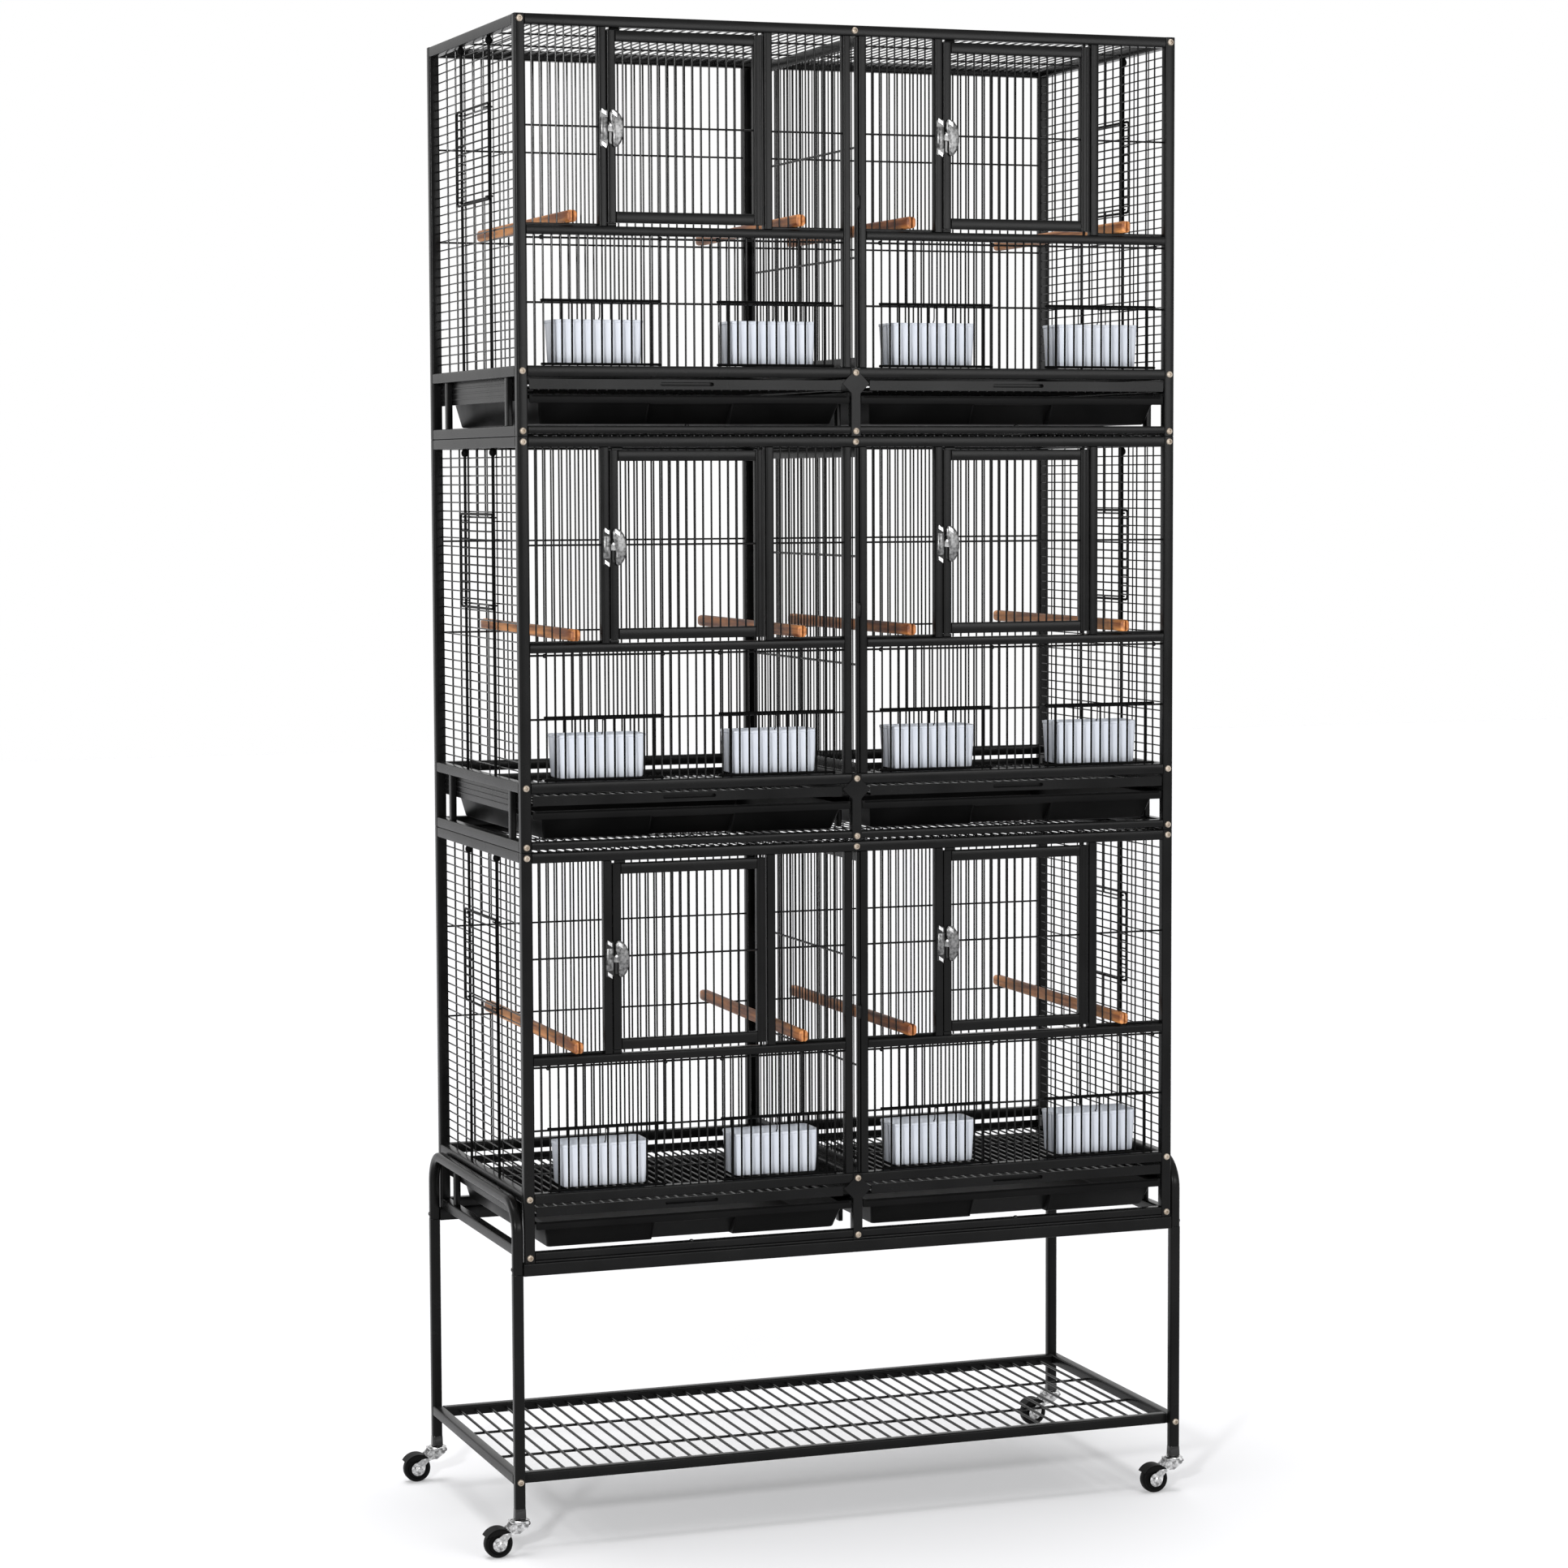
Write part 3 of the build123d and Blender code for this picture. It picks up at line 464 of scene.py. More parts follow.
def make_mesh(name, parts, material):
    """One mesh in metres from points and faces in millimetres."""
    points = []
    faces = []
    start = 0
    for part_points, part_faces in parts:
        points.append(part_points * MM)
        faces.extend(tuple(start + i for i in face) for face in part_faces)
        start += len(part_points)
    mesh = bpy.data.meshes.new(name)
    mesh.from_pydata(np.concatenate(points).tolist(), [], faces)
    shell = bmesh.new()
    shell.from_mesh(mesh)
    bmesh.ops.recalc_face_normals(shell, faces=shell.faces)
    shell.to_mesh(mesh)
    shell.free()
    mesh.shade_smooth()
    mesh.set_sharp_from_angle(angle=SHARP_ANGLE)
    mesh.materials.append(material)
    return mesh


def place(name, mesh, at, body, nodes=()):
    """A piece at a place in the frame, riding on a body and standing for solids."""
    piece = bpy.data.objects.new(name, mesh)
    piece.location = Vector(at) * MM
    SCENE.collection.objects.link(piece)
    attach(piece, body)
    if nodes:
        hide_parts(*nodes)


def cage_place(tier, x=0):
    """Where a cage's own zero lies in the frame."""
    return MIDDLE_X + x, 0, STAND_H + CAGE_H * TIERS.index(tier)


def in_tiers(name, parts, material, nodes=(), tiers=TIERS):
    """The same fixed piece in every cage, or in some."""
    mesh = make_mesh(name, parts, material)
    for tier in tiers:
        place(f"{tier}_{name}", mesh, cage_place(tier), "root", nodes)


def in_halves(thing, end, mesh, shifts, stands=True):
    """A piece on a moving body of every compartment, in place of its solid or added."""
    for tier in TIERS:
        for half, x in shifts.items():
            body = f"{tier}_{half}_{thing}"
            place(f"{body}_{end}", mesh, cage_place(tier, x), body, (body,) if stands else ())


# Cage frames of square tube

def panel_tubes():
    """One panel's mid rail, door stiles and the sills under its upper wires."""
    parts = [beam(PANEL_IN, FRONT_Y, (MID_RAIL_Z, MID_TOP))]
    parts += [beam(stile, FRONT_Y, (MID_TOP, TOP_RAIL_Z)) for stile in (STRIKE_STILE, HINGE_STILE)]
    sill_y = around(-WIRE_Y, FIELD_SILL / 2)
    parts += [beam(field, sill_y, (MID_TOP, FIELD_LOW), LEDGE_EDGE) for field in FIELDS]
    return parts


def frame_tubes():
    """Corner posts, rails, the posts in the middle and both panels' tubes."""
    slot = SLOT_W / 2
    right = [beam((IN_X, HALF_W), y, (0, CAGE_H)) for y in (FRONT_Y, BACK_Y)]
    right += [beam((IN_X, HALF_W), INNER_Y, (z, z + TUBE)) for z in RAIL_LEVELS]
    right.append(beam((slot, slot + SLOT_STILE_W), FRONT_Y, OPEN_Z))
    parts = mirrored(right) + right
    for z in RAIL_LEVELS:
        parts.append(beam(INNER_X, FRONT_Y, (max(z, SEAM), z + TUBE)))
        parts.append(beam(INNER_X, BACK_Y, (z, z + TUBE)))
    parts.append(beam(around(0, CENTRE_POST_W / 2), FRONT_Y, BASE_Z))
    parts += [beam(POST_X, BACK_Y, z) for z in (BASE_Z, OPEN_Z)]
    return parts + in_panels(panel_tubes())


# Mesh of the panels

def front_wires():
    """One panel's uprights beside the door and under the mid rail, and its wires across."""
    parts = []
    for field, gaps in zip(FIELDS, FIELD_GAPS):
        for x in spread(field, gaps):
            parts.append(rod(x, -WIRE_Y, (FIELD_LOW, TOP_RAIL_Z), FIELD_WIRE_R))
        parts.append(rod(field, -CROSS_Y, CROSS_WIRE_Z))
    for x in spread(PANEL_IN, MESH_GAPS):
        in_feeder = any(abs(x - middle) < FEEDER_OPEN / 2 - 2 * WIRE_R for middle in FEEDER_X)
        parts.append(rod(x, -WIRE_Y, (FEED_WIRE_Z if in_feeder else FLOOR_TOP, MID_RAIL_Z)))
    parts += [rod(PANEL_IN, -CROSS_Y, z, LONG_WIRE_R) for z in (FEED_WIRE_Z, HEAD_WIRE_Z)]
    return parts


def back_wires():
    """The back's uprights on both sides of its post, and its wires across."""
    half = (TUBE / 2, IN_X)
    right = [rod(x, WIRE_Y, OPEN_Z) for x in spread(half, MESH_GAPS)]
    right += [rod(half, CROSS_Y, z) for z in (MID_TOP + WIRE_R, CROSS_WIRE_Z)]
    return mirrored(right) + right


def top_wires():
    """The top's wires from front to back, and two across under them."""
    parts = [rod(x, INNER_Y, TOP_WIRE_Z, TOP_WIRE_R) for x in spread(INNER_X, TOP_GAPS)]
    return parts + [rod(INNER_X, y, TOP_WIRE_Z - 2 * WIRE_R) for y in PAIR_Y]


# The front ends of the top wires, turned up over the front rail under the next cage
SEAM_LINE = (
    (-HALF_D + 1, CAGE_H + TOP_WIRE_R),
    (-IN_Y + 1.5, CAGE_H + TOP_WIRE_R),
    (-IN_Y + 4, TOP_WIRE_Z),
)
SEAM_WIRES = [wire(at_x(x, SEAM_LINE), TOP_WIRE_R) for x in spread(INNER_X, TOP_GAPS)]

NEST_OPEN = (318, 435)
BESIDE_NEST = ((-IN_Y, -ROD_Y), (ROD_Y, IN_Y))
ROUND_NEST = ((FLOOR_TOP, NEST_OPEN[0]), (NEST_OPEN[1], TOP_RAIL_Z))
SIDE_STEP = ROD_Y * 2 / 3
SIDE_STEPS = (0.5, 1.5, 2.5, 3.5)


def side_wires():
    """The right side's mesh, with the nest opening left free between the guide rods."""
    parts = []
    for z in spread(OPEN_Z, MESH_GAPS):
        spans = BESIDE_NEST if NEST_OPEN[0] < z < NEST_OPEN[1] else (INNER_Y,)
        parts += [rod(SIDE_WIRE_X, y, z, SIDE_WIRE_R) for y in spans]
    parts += [rod(SIDE_WIRE_X, PAIR_Y, z) for z in NEST_OPEN]
    for step in SIDE_STEPS:
        spans = ROUND_NEST if step < 1 else (OPEN_Z,)
        for y in around(0, step * SIDE_STEP):
            parts += [rod(SIDE_WIRE_X - 2 * SIDE_WIRE_R, y, z, SIDE_WIRE_R) for z in spans]
    return parts


ROD_KNOB = (
    (0.1, 516.4), (2.4, 516.6), (3.8, 518), (4.8, 520), (4.8, 523), (3.6, 525.5), (2.4, TOP_RAIL_Z),
)


def guide_rods():
    """The right side's two rods, each with a funnel-shaped knob under the top rail."""
    parts = []
    for y in PAIR_Y:
        parts.append(rod(ROD_X, y, OPEN_Z, ROD_R))
        parts.append(lathe(ROD_KNOB, Z, (ROD_X, y), STUD_SIDES))
    return parts


# Fasteners and fittings of the fronts

BOLT_PROFILE = ((0.1, -0.2), (1.9, -0.2), (2.1, -2.5), (3, -2.4), (4, -1.6), (4.4, -0.7), (4.4, 0.4))
BOLT_Z = (TUBE / 2, FLOOR_RAIL_Z + TUBE / 2, CAGE_H - TUBE / 2)
STUD_PROFILE = ((0.1, 2), (1.6, 1.8), (2.8, 1), (3.2, 0), (3.2, -0.4))
BRACKET_T = 1.6
BRACKET_W = 39
BRACKET_NECK = 13
BRACKET_HEAD_Z = 70


def bolt(x, y, z):
    """A socket-head screw whose head lies on a front face."""
    return lathe(raised(BOLT_PROFILE, y), Y, (x, z), BOLT_SIDES)


def front_bolts():
    parts = [bolt(x, -HALF_D, z) for x in around(0, HALF_W - TUBE / 2) for z in BOLT_Z]
    parts += [bolt(0, -HALF_D - BRACKET_T, z) for z in BOLT_Z[:2]]
    return parts + [bolt(0, -HALF_D, BOLT_Z[2])]


def rail_stud():
    """A small domed cap in the middle of a panel's lower rail."""
    return lathe(raised(STUD_PROFILE, TUBE), Z, (PANEL_W / 2, sum(FRONT_Y) / 2), STUD_SIDES)


def centre_bracket():
    """The plate over the centre post, with a diamond-shaped head."""
    neck = BRACKET_NECK / 2
    head = BRACKET_W / 2
    low, high = around(BRACKET_HEAD_Z, head - neck)
    right = [(neck, CLEAR), (neck, low), (head, BRACKET_HEAD_Z), (neck, high), (neck, FLOOR_TOP - CLEAR)]
    return plate(symmetric(right), Y, (-HALF_D - BRACKET_T, -HALF_D))


HINGE_X = 331.5
HINGE_Y = -214
HINGE_R = 2
DOOR_X = (124, 337.5)
DOOR_Y = (-219, -209)
DOOR_Z = (276.3, 523.5)
DOOR_SIDE_W = 12
DOOR_END_W = 14.5
STOP_REACH = 81
STOP_R = 3
STOP_Y = sum(DOOR_Y) / 2
STOP_PLATE = ((130, 145), (DOOR_Y[1] + 0.3, DOOR_Y[1] + 1.5), (TOP_RAIL_Z - 11, TOP_RAIL_Z))
STOP_FOOT = (
    (DOOR_X[0], DOOR_X[0] + DOOR_SIDE_W), (DOOR_Y[0] + 1, DOOR_Y[1] - 1), (MID_TOP, DOOR_Z[0] - CLEAR),
)


def front_stops():
    """One panel's stops: balls for the feeder doors, a plate and a foot for the front door."""
    parts = []
    for middle in FEEDER_X:
        for x in around(middle, STOP_REACH):
            parts.append(lathe(ball(STOP_R, STOP_R, HEAD_WIRE_Z), Z, (x, STOP_Y), BALL_SIDES))
    return parts + [beam(*STOP_PLATE, LEAF_EDGE), beam(*STOP_FOOT, FOOT_EDGE)]


LATCH_Z = 397
KEEPER_X = 118.8
KEEPER_H = 47
KEEPER_FRONT = -HALF_D - 1.4
KEEPER_PLATE = ((KEEPER_X, LATCH_Z), (11, KEEPER_H), 2.5, Y, (KEEPER_FRONT, -HALF_D))
KEEPER_BAR_W = 10.8
KEEPER_BAR_H = 29
KEEPER_BAR_T = 2.6
KEEPER_BAR_SINK = 0.4
KEEPER_BAR_END = 0.8
KEEPER_BAR_SCALE = 0.8
TAB_W = 6.4
TAB_H = 5.4
TAB_T = 1.6
TAB_SLANT = 4.4
TAB_PROUD = 1.2


def keeper_bar():
    """The half-round bar that a latch catches."""
    flat = 2 * KEEPER_BAR_T / KEEPER_BAR_W
    bow = arc((KEEPER_X, 0), KEEPER_BAR_W / 2, 0, 180, 10)
    outline = np.array([(x, KEEPER_FRONT + (KEEPER_BAR_SINK - y) * flat) for x, y in bow])
    middle = outline.mean(axis=0)
    small = middle + (outline - middle) * KEEPER_BAR_SCALE
    return capped(outline, small, Z, around(LATCH_Z, KEEPER_BAR_H / 2), KEEPER_BAR_END)


def slanted_tab(x, z, front):
    """A small plate whose ends slant down to the right, shown in the lighter chrome copy as a painted
    highlight.
    """
    outline = []
    for sx, sz in ((-1, -1), (1, -1), (1, 1), (-1, 1)):
        outline.append((x + sx * TAB_W / 2, z + (sz * TAB_H - sx * TAB_SLANT) / 2))
    return plate(outline, Y, (front, front + TAB_T))


def keeper_tabs():
    reach = (KEEPER_H - TAB_H) / 2
    return [slanted_tab(KEEPER_X, z, KEEPER_FRONT - TAB_PROUD) for z in around(LATCH_Z, reach)]


# Runners under the grilles and trays

TRAY_RUN = (48.7, 50.7)
GRILLE_RUN = (58.7, 60.7)
CENTRE_RUN_X = {TRAY_RUN: 18, GRILLE_RUN: 30.5}
CENTRE_WEB_T = 3
RUNNER_IN_X = 441
RUNNER_WEB_X = (453.5, 455)
RUNNER_WEB_Z = (46.5, FLOOR_RAIL_Z)
RUNNER_RIBS = (53, 60.5, 68)
RUNNER_RIB_X = (RUNNER_WEB_X[1] - 0.3, RUNNER_WEB_X[1] + 1.2)
RUNNER_RIB_H = 2.4
RUNNER_POST_X = (RUNNER_WEB_X[1], RUNNER_WEB_X[1] + 8)
RUNNER_POSTS = (around(-150, 6), around(150, 6))
CENTRE_POST_Z = (TUBE, RUNNER_WEB_Z[0] + 4)


def runners():
    """The beam under the divider, the webs on their posts, and the ledges."""
    web = CENTRE_WEB_T / 2
    parts = [beam(POST_X, INNER_Y, (FLOOR_RAIL_Z, FLOOR_TOP))]
    parts.append(beam((-web, web), INNER_Y, RUNNER_WEB_Z, WEB_EDGE))
    parts += [beam((-2 * web, 2 * web), y, CENTRE_POST_Z, FLAT_EDGE) for y in RUNNER_POSTS]
    right = [beam(RUNNER_POST_X, y, BASE_Z, BAR_EDGE) for y in RUNNER_POSTS]
    right.append(beam(RUNNER_WEB_X, INNER_Y, RUNNER_WEB_Z, WEB_EDGE))
    right += [beam(RUNNER_RIB_X, INNER_Y, (z, z + RUNNER_RIB_H), STRIP_EDGE) for z in RUNNER_RIBS]
    for run, centre_x in CENTRE_RUN_X.items():
        right.append(beam((RUNNER_IN_X, RUNNER_WEB_X[0]), INNER_Y, run, LEDGE_EDGE))
        right.append(beam((web, centre_x), INNER_Y, run, LEDGE_EDGE))
    return parts + mirrored(right) + right


FRONT, SIDE, BACK = (("front_panels",), ("side_panels",), ("back_and_top_panels",))
in_tiers("cage_frame", frame_tubes(), PAINT, FRONT + SIDE + BACK)
in_tiers("front_mesh", in_panels(front_wires()), WIRE_PAINT, FRONT)
in_tiers("back_mesh", back_wires(), WIRE_PAINT, BACK)
in_tiers("top_mesh", top_wires(), WIRE_PAINT, BACK)
in_tiers("seam_wires", SEAM_WIRES, WIRE_PAINT, tiers=TIERS[:-1])
in_tiers("side_mesh", side_wires() + mirrored(side_wires()), WIRE_PAINT, SIDE)
in_tiers("guide_rods", guide_rods() + mirrored(guide_rods()), ROD_PAINT, SIDE)
in_tiers("front_bolts", front_bolts(), ZINC)
in_tiers("rail_studs", in_panels([rail_stud()]), GLOSS_BLACK)
in_tiers("centre_bracket", [centre_bracket()], PAINT, FRONT)
hinge_rod = rod(HINGE_X, HINGE_Y, (MID_TOP, TOP_RAIL_Z), HINGE_R)
in_tiers("hinge_rods", in_panels([hinge_rod]), PAINT, FRONT)
in_tiers("front_stops", in_panels(front_stops()), PAINT)
in_tiers("keeper_plates", in_panels([tag(*KEEPER_PLATE)]), GLOSS_BLACK, FRONT)
# The keeper bars and the latch levers are chrome, given a darker copy as painted shade.
in_tiers("keeper_bars", in_panels([keeper_bar()]), SHADED_CHROME_WITH_PAINTED_REFLECTIONS)
in_tiers("keeper_tabs", in_panels(keeper_tabs()), LIT_CHROME_WITH_PAINTED_REFLECTIONS)
in_tiers("runners", runners(), PAINT, ("drawer_runners",))


# Front doors and their latches

DOOR_IN = (DOOR_X[0] + DOOR_SIDE_W, DOOR_X[1] - DOOR_SIDE_W)
DOOR_WIRE_Z = (DOOR_Z[0] + DOOR_END_W, DOOR_Z[1] - DOOR_END_W)
DOOR_WIRE_Y = DOOR_Y[1] - 2 * WIRE_R
DOOR_GAPS = 16
CHANNEL_X = around(HINGE_X, 2.2)
CHANNEL_COVER_X = around(HINGE_X, 2.8)
CHANNEL_COVER_Y = (DOOR_Y[0], DOOR_Y[0] + 2.4)


def door_frame():
    """A frame of flat tube, with a split channel on its hinge side for the rod."""
    parts = [beam((DOOR_X[0], DOOR_IN[0]), DOOR_Y, DOOR_Z)]
    for x in ((DOOR_IN[1], CHANNEL_X[0]), (CHANNEL_X[1], DOOR_X[1])):
        parts.append(beam(x, DOOR_Y, DOOR_Z, BAR_EDGE))
    parts.append(beam(CHANNEL_COVER_X, CHANNEL_COVER_Y, DOOR_Z, FOOT_EDGE))
    for z in zip(DOOR_Z, DOOR_WIRE_Z):
        parts.append(beam(DOOR_IN, DOOR_Y, z))
    return parts


def door_wires():
    parts = [rod(x, DOOR_WIRE_Y, DOOR_WIRE_Z) for x in spread(DOOR_IN, DOOR_GAPS)]
    return parts + [rod(DOOR_IN, DOOR_WIRE_Y - 2 * WIRE_R, CROSS_WIRE_Z)]


LATCH_BACK = DOOR_Y[0] - 2
LATCH_FRONT = DOOR_Y[0] - 5.3
LATCH_BASE = ((132, LATCH_Z), (12, 40), 3, Y, (DOOR_Y[0] - 1, DOOR_Y[0]))
BASE_RIVET = ((0.1, 0.2), (2.2, 0.2), (2.8, 0.8), (2.8, 1.5))
BASE_RIVET_AT = (134.25, LATCH_Z)
LEVER_CURVE = (
    (126.4, 20), (129, 24), (133, 24.4), (137.6, 21.8), (141.8, 16.4), (144.4, 9.6), (145.6, 2),
    (145.4, -5.6), (143.8, -12.4), (141.2, -18.4), (137.2, -23), (133.4, -24.2), (131, -21.6),
    (130, -15), (130.4, -8), (130, -1), (128.4, 5), (126.4, 12),
)
LEVER_CROWN = (
    (LATCH_BACK, 0.4), (LATCH_BACK - 1.4, 0), (LATCH_FRONT + 1.2, 0.4), (LATCH_FRONT + 0.4, 1.4),
    (LATCH_FRONT, 2.8),
)
TONGUE = ((128.4, LATCH_Z), (9, 9), 1.6, Y, (LATCH_BACK - 1.6, LATCH_BACK - 0.2))
THUMB_TAB_AT = (132.6, LATCH_Z + 19, LATCH_FRONT - 0.7)
LEVER_RIVET = (
    (0.1, LATCH_FRONT), (1.3, LATCH_FRONT + 0.2), (2.1, LATCH_FRONT + 1), (2.2, LATCH_BACK - 1),
)
LEVER_RIVET_AT = (127.6, LATCH_Z + 4)


def latch_base():
    """The dark plate on the door that the lever slides over, with its rivet."""
    rivet = lathe(raised(BASE_RIVET, LATCH_BACK), Y, BASE_RIVET_AT, STUD_SIDES)
    return [tag(*LATCH_BASE), rivet]


def latch_lever():
    """The latch's crescent lever, crowned towards the front, and the tongue at its back."""
    outline = np.array(LEVER_CURVE) + np.array((0, LATCH_Z))
    lever = loft([level(inset(outline, depth), Y, y) for y, depth in LEVER_CROWN])
    return [lever, tag(*TONGUE, steps=3)]


def latch_brights():
    """The thumb tab on top of the lever and the tongue's rivet, in the lighter chrome copy as a painted
    highlight.
    """
    return [slanted_tab(*THUMB_TAB_AT), lathe(LEVER_RIVET, Y, LEVER_RIVET_AT, BALL_SIDES)]


for thing, end, mesh_name, parts, material, slot, stands in (
    ("front_door", "frame", "front_door", door_frame(), PAINT, BLACK, True),
    ("front_door", "wires", "front_door_wires", door_wires(), WIRE_PAINT, BLACK, True),
    ("front_door", "latch_base", "latch_base", latch_base(), GLOSS_BLACK, BLACK, False),
    ("door_latch", "lever", "latch_lever", latch_lever(), SHADED_CHROME_WITH_PAINTED_REFLECTIONS, "chrome", True),
    ("door_latch", "brights", "latch_brights", latch_brights(), LIT_CHROME_WITH_PAINTED_REFLECTIONS, "chrome", False),
):
    in_halves(thing, end, make_mesh(mesh_name, parts, material), PANEL_X, stands)


# Feeder doors

FEEDER_W = 162
FEEDER_WIRES = 11
FEEDER_Y = -215.5
FEEDER_ROD_R = 1.8
FEEDER_WIRE_R = 1.4
FEEDER_Z = (FLOOR_TOP + CLEAR + FEEDER_ROD_R, FEED_WIRE_Z + 2.8)
FEEDER_BEND = 3
FEEDER_BEND_R = 2.7
FEEDER_BEND_ANGLES = (170, 270)


def feeder_parts():
    """Two rods with turned-back ends, joined by upright wires."""
    bend_at = (-FEEDER_W / 2 + FEEDER_BEND, FEEDER_Y + FEEDER_BEND)
    line = symmetric(arc(bend_at, FEEDER_BEND_R, *FEEDER_BEND_ANGLES, 6))
    parts = [wire([(x, y, z) for x, y in line], FEEDER_ROD_R) for z in FEEDER_Z]
    for x in spread(around(0, FEEDER_W / 2), FEEDER_WIRES + 1):
        parts.append(rod(x, FEEDER_Y, FEEDER_Z, FEEDER_WIRE_R))
    return parts


feeder_mesh = make_mesh("feeder_door", feeder_parts(), ROD_PAINT)
feeder_places = [PANEL_X[half] + x for half in HALVES for x in FEEDER_X]
for tier in TIERS:
    for number, x in enumerate(feeder_places, 1):
        door = f"{tier}_feeder_door_{number}"
        place(f"{door}_wires", feeder_mesh, cage_place(tier, x), door, (door,))


# Feed cups and their hooks

CUP_W = 123
CUP_D = 56
CUP_Z = FLOOR_TOP + 2.6
CUP_TOP = CUP_Z + 57.6
CUP_TAPER = 4
CUP_WALL = 2
CUP_INSIDE = CUP_TAPER + CUP_WALL
CUP_FRONT = -CROSS_Y + WIRE_R + CLEAR
CUP_CORNER = 9
CUP_LEAST_CORNER = 2
# How far each level is drawn in, and its height: the foot, the lip, and the inside down to the floor
CUP_LEVELS = (
    (CUP_TAPER + 3, CUP_Z), (CUP_TAPER + 0.9, CUP_Z + 0.9), (CUP_TAPER, CUP_Z + 3),
    (0.9, CUP_TOP - 4), (0, CUP_TOP - 3.2), (0, CUP_TOP - 0.8), (0.6, CUP_TOP),
    (CUP_WALL, CUP_TOP), (CUP_WALL + 0.6, CUP_TOP - 0.8),
    (CUP_INSIDE, CUP_Z + 4.5), (CUP_INSIDE + 3, CUP_Z + 2.4),
)
HOOK_R = 0.9
HOOK_BEND = 2.2
HOOK_Y = CUP_FRONT + HOOK_R - 0.2
HOOK_TOP = FEED_WIRE_Z + WIRE_R + HOOK_R + CLEAR
HOOK_LINE = (
    (HOOK_Y + 3.2, CUP_TOP - 10), (HOOK_Y + 3.2, CUP_TOP + 1.5), (HOOK_Y + 0.4, CUP_TOP + 3.5),
    (HOOK_Y, CUP_TOP + 8), (HOOK_Y, HOOK_TOP - 4),
    *arc((HOOK_Y - HOOK_BEND, HOOK_TOP - HOOK_BEND), HOOK_BEND, 0, 180, 8),
    (HOOK_Y - 2 * HOOK_BEND, HOOK_TOP - 5),
)


def feed_cup():
    """A tapered open cup with round corners, a rounded foot and a turned lip."""
    loops = []
    for draw, z in CUP_LEVELS:
        corner = max(CUP_CORNER - draw, CUP_LEAST_CORNER)
        outline = rounded(CUP_W - 2 * draw, CUP_D - 2 * draw, corner, 5)
        loops.append(level(outline, Z, z, (0, CUP_FRONT + CUP_D / 2)))
    return loft(loops)


cups = [moved(feed_cup(), x) for x in feeder_places]
hooks = [moved(wire(at_x(0, HOOK_LINE), HOOK_R), x) for x in feeder_places]
in_tiers("feed_cups", cups, CUP_WHITE, ("feed_cups",))
in_tiers("cup_hooks", hooks, GLOSS_BLACK)


# Perches

PERCH_X = (72, PANEL_W - 78.5)
PERCH_LEAN = {"left": (4, 12), "right": (-5.5, 2.6)}
PERCH_W = 13.5
PERCH_H = 15.5
PERCH_Z = FIELD_LOW + CLEAR + PERCH_H / 2
PERCH_FRONT = -WIRE_Y - 22.5
PERCH_BACK = -WIRE_Y + 435.5
PERCH_NOTCH = -WIRE_Y + 3
PERCH_EDGE = 4.6
NOTCH_X = (-0.4, 2.4)
BACK_TAPER = (
    (PERCH_NOTCH, 1), (PERCH_BACK - 9, 1), (PERCH_BACK - 5, 0.92), (PERCH_BACK - 2, 0.74),
    (PERCH_BACK, 0.46),
)
CHEEK_TAPER = ((PERCH_NOTCH, 1), (PERCH_FRONT + 3, 1), (PERCH_FRONT + 0.8, 0.9), (PERCH_FRONT, 0.72))


def cut_outline(outline, limit, side):
    """The part of a convex outline on one side of an upright line."""
    points = []
    for a, b in zip(outline, np.roll(outline, -1, axis=0)):
        if side * (a[0] - limit) >= 0:
            points.append(a)
        if (a[0] - limit) * (b[0] - limit) < 0:
            points.append(a + (b - a) * (limit - a[0]) / (b[0] - a[0]))
    return np.array(points)


def perch_parts(x):
    """A wooden bar whose slit front end grips a wire, with a tapered back end."""
    section = rounded(PERCH_W, PERCH_H, PERCH_EDGE, 5)
    middle = (x, PERCH_Z)
    parts = [loft([level(section * scale, Y, y, middle) for y, scale in BACK_TAPER])]
    for limit, side in zip(NOTCH_X, SIDES):
        hold = np.array((limit, 0))
        cheek = cut_outline(section, limit, side) - hold
        parts.append(loft([level(hold + cheek * scale, Y, y, middle) for y, scale in CHEEK_TAPER]))
    return parts


perches = []
for half in HALVES:
    for x, lean in zip(PERCH_X, PERCH_LEAN[half]):
        foot = PANEL_X[half] + x
        angle = math.atan2(lean, 2 * WIRE_Y)
        perches += [turned(part, angle, foot, -WIRE_Y) for part in perch_parts(foot)]
in_tiers("perches", perches, WOOD, ("perches",))


# Nest doors

NEST_X = ROD_X + ROD_R + 1.8
NEST_HALF = 81.5
NEST_Z = (312, 441)
NEST_ROD_R = 1.7
NEST_CORNER = 5
NEST_WIRES = 10
NEST_WIRE_R = 1.1
NEST_HOOKS = (NEST_Z[0] + 6, NEST_Z[1] - 6)
NEST_HOOK_LINE = (
    (NEST_X, ROD_Y - 8), (NEST_X, ROD_Y - 2),
    *arc((ROD_X, ROD_Y), ROD_R + NEST_WIRE_R + 0.25, 0, 105, 8),
)


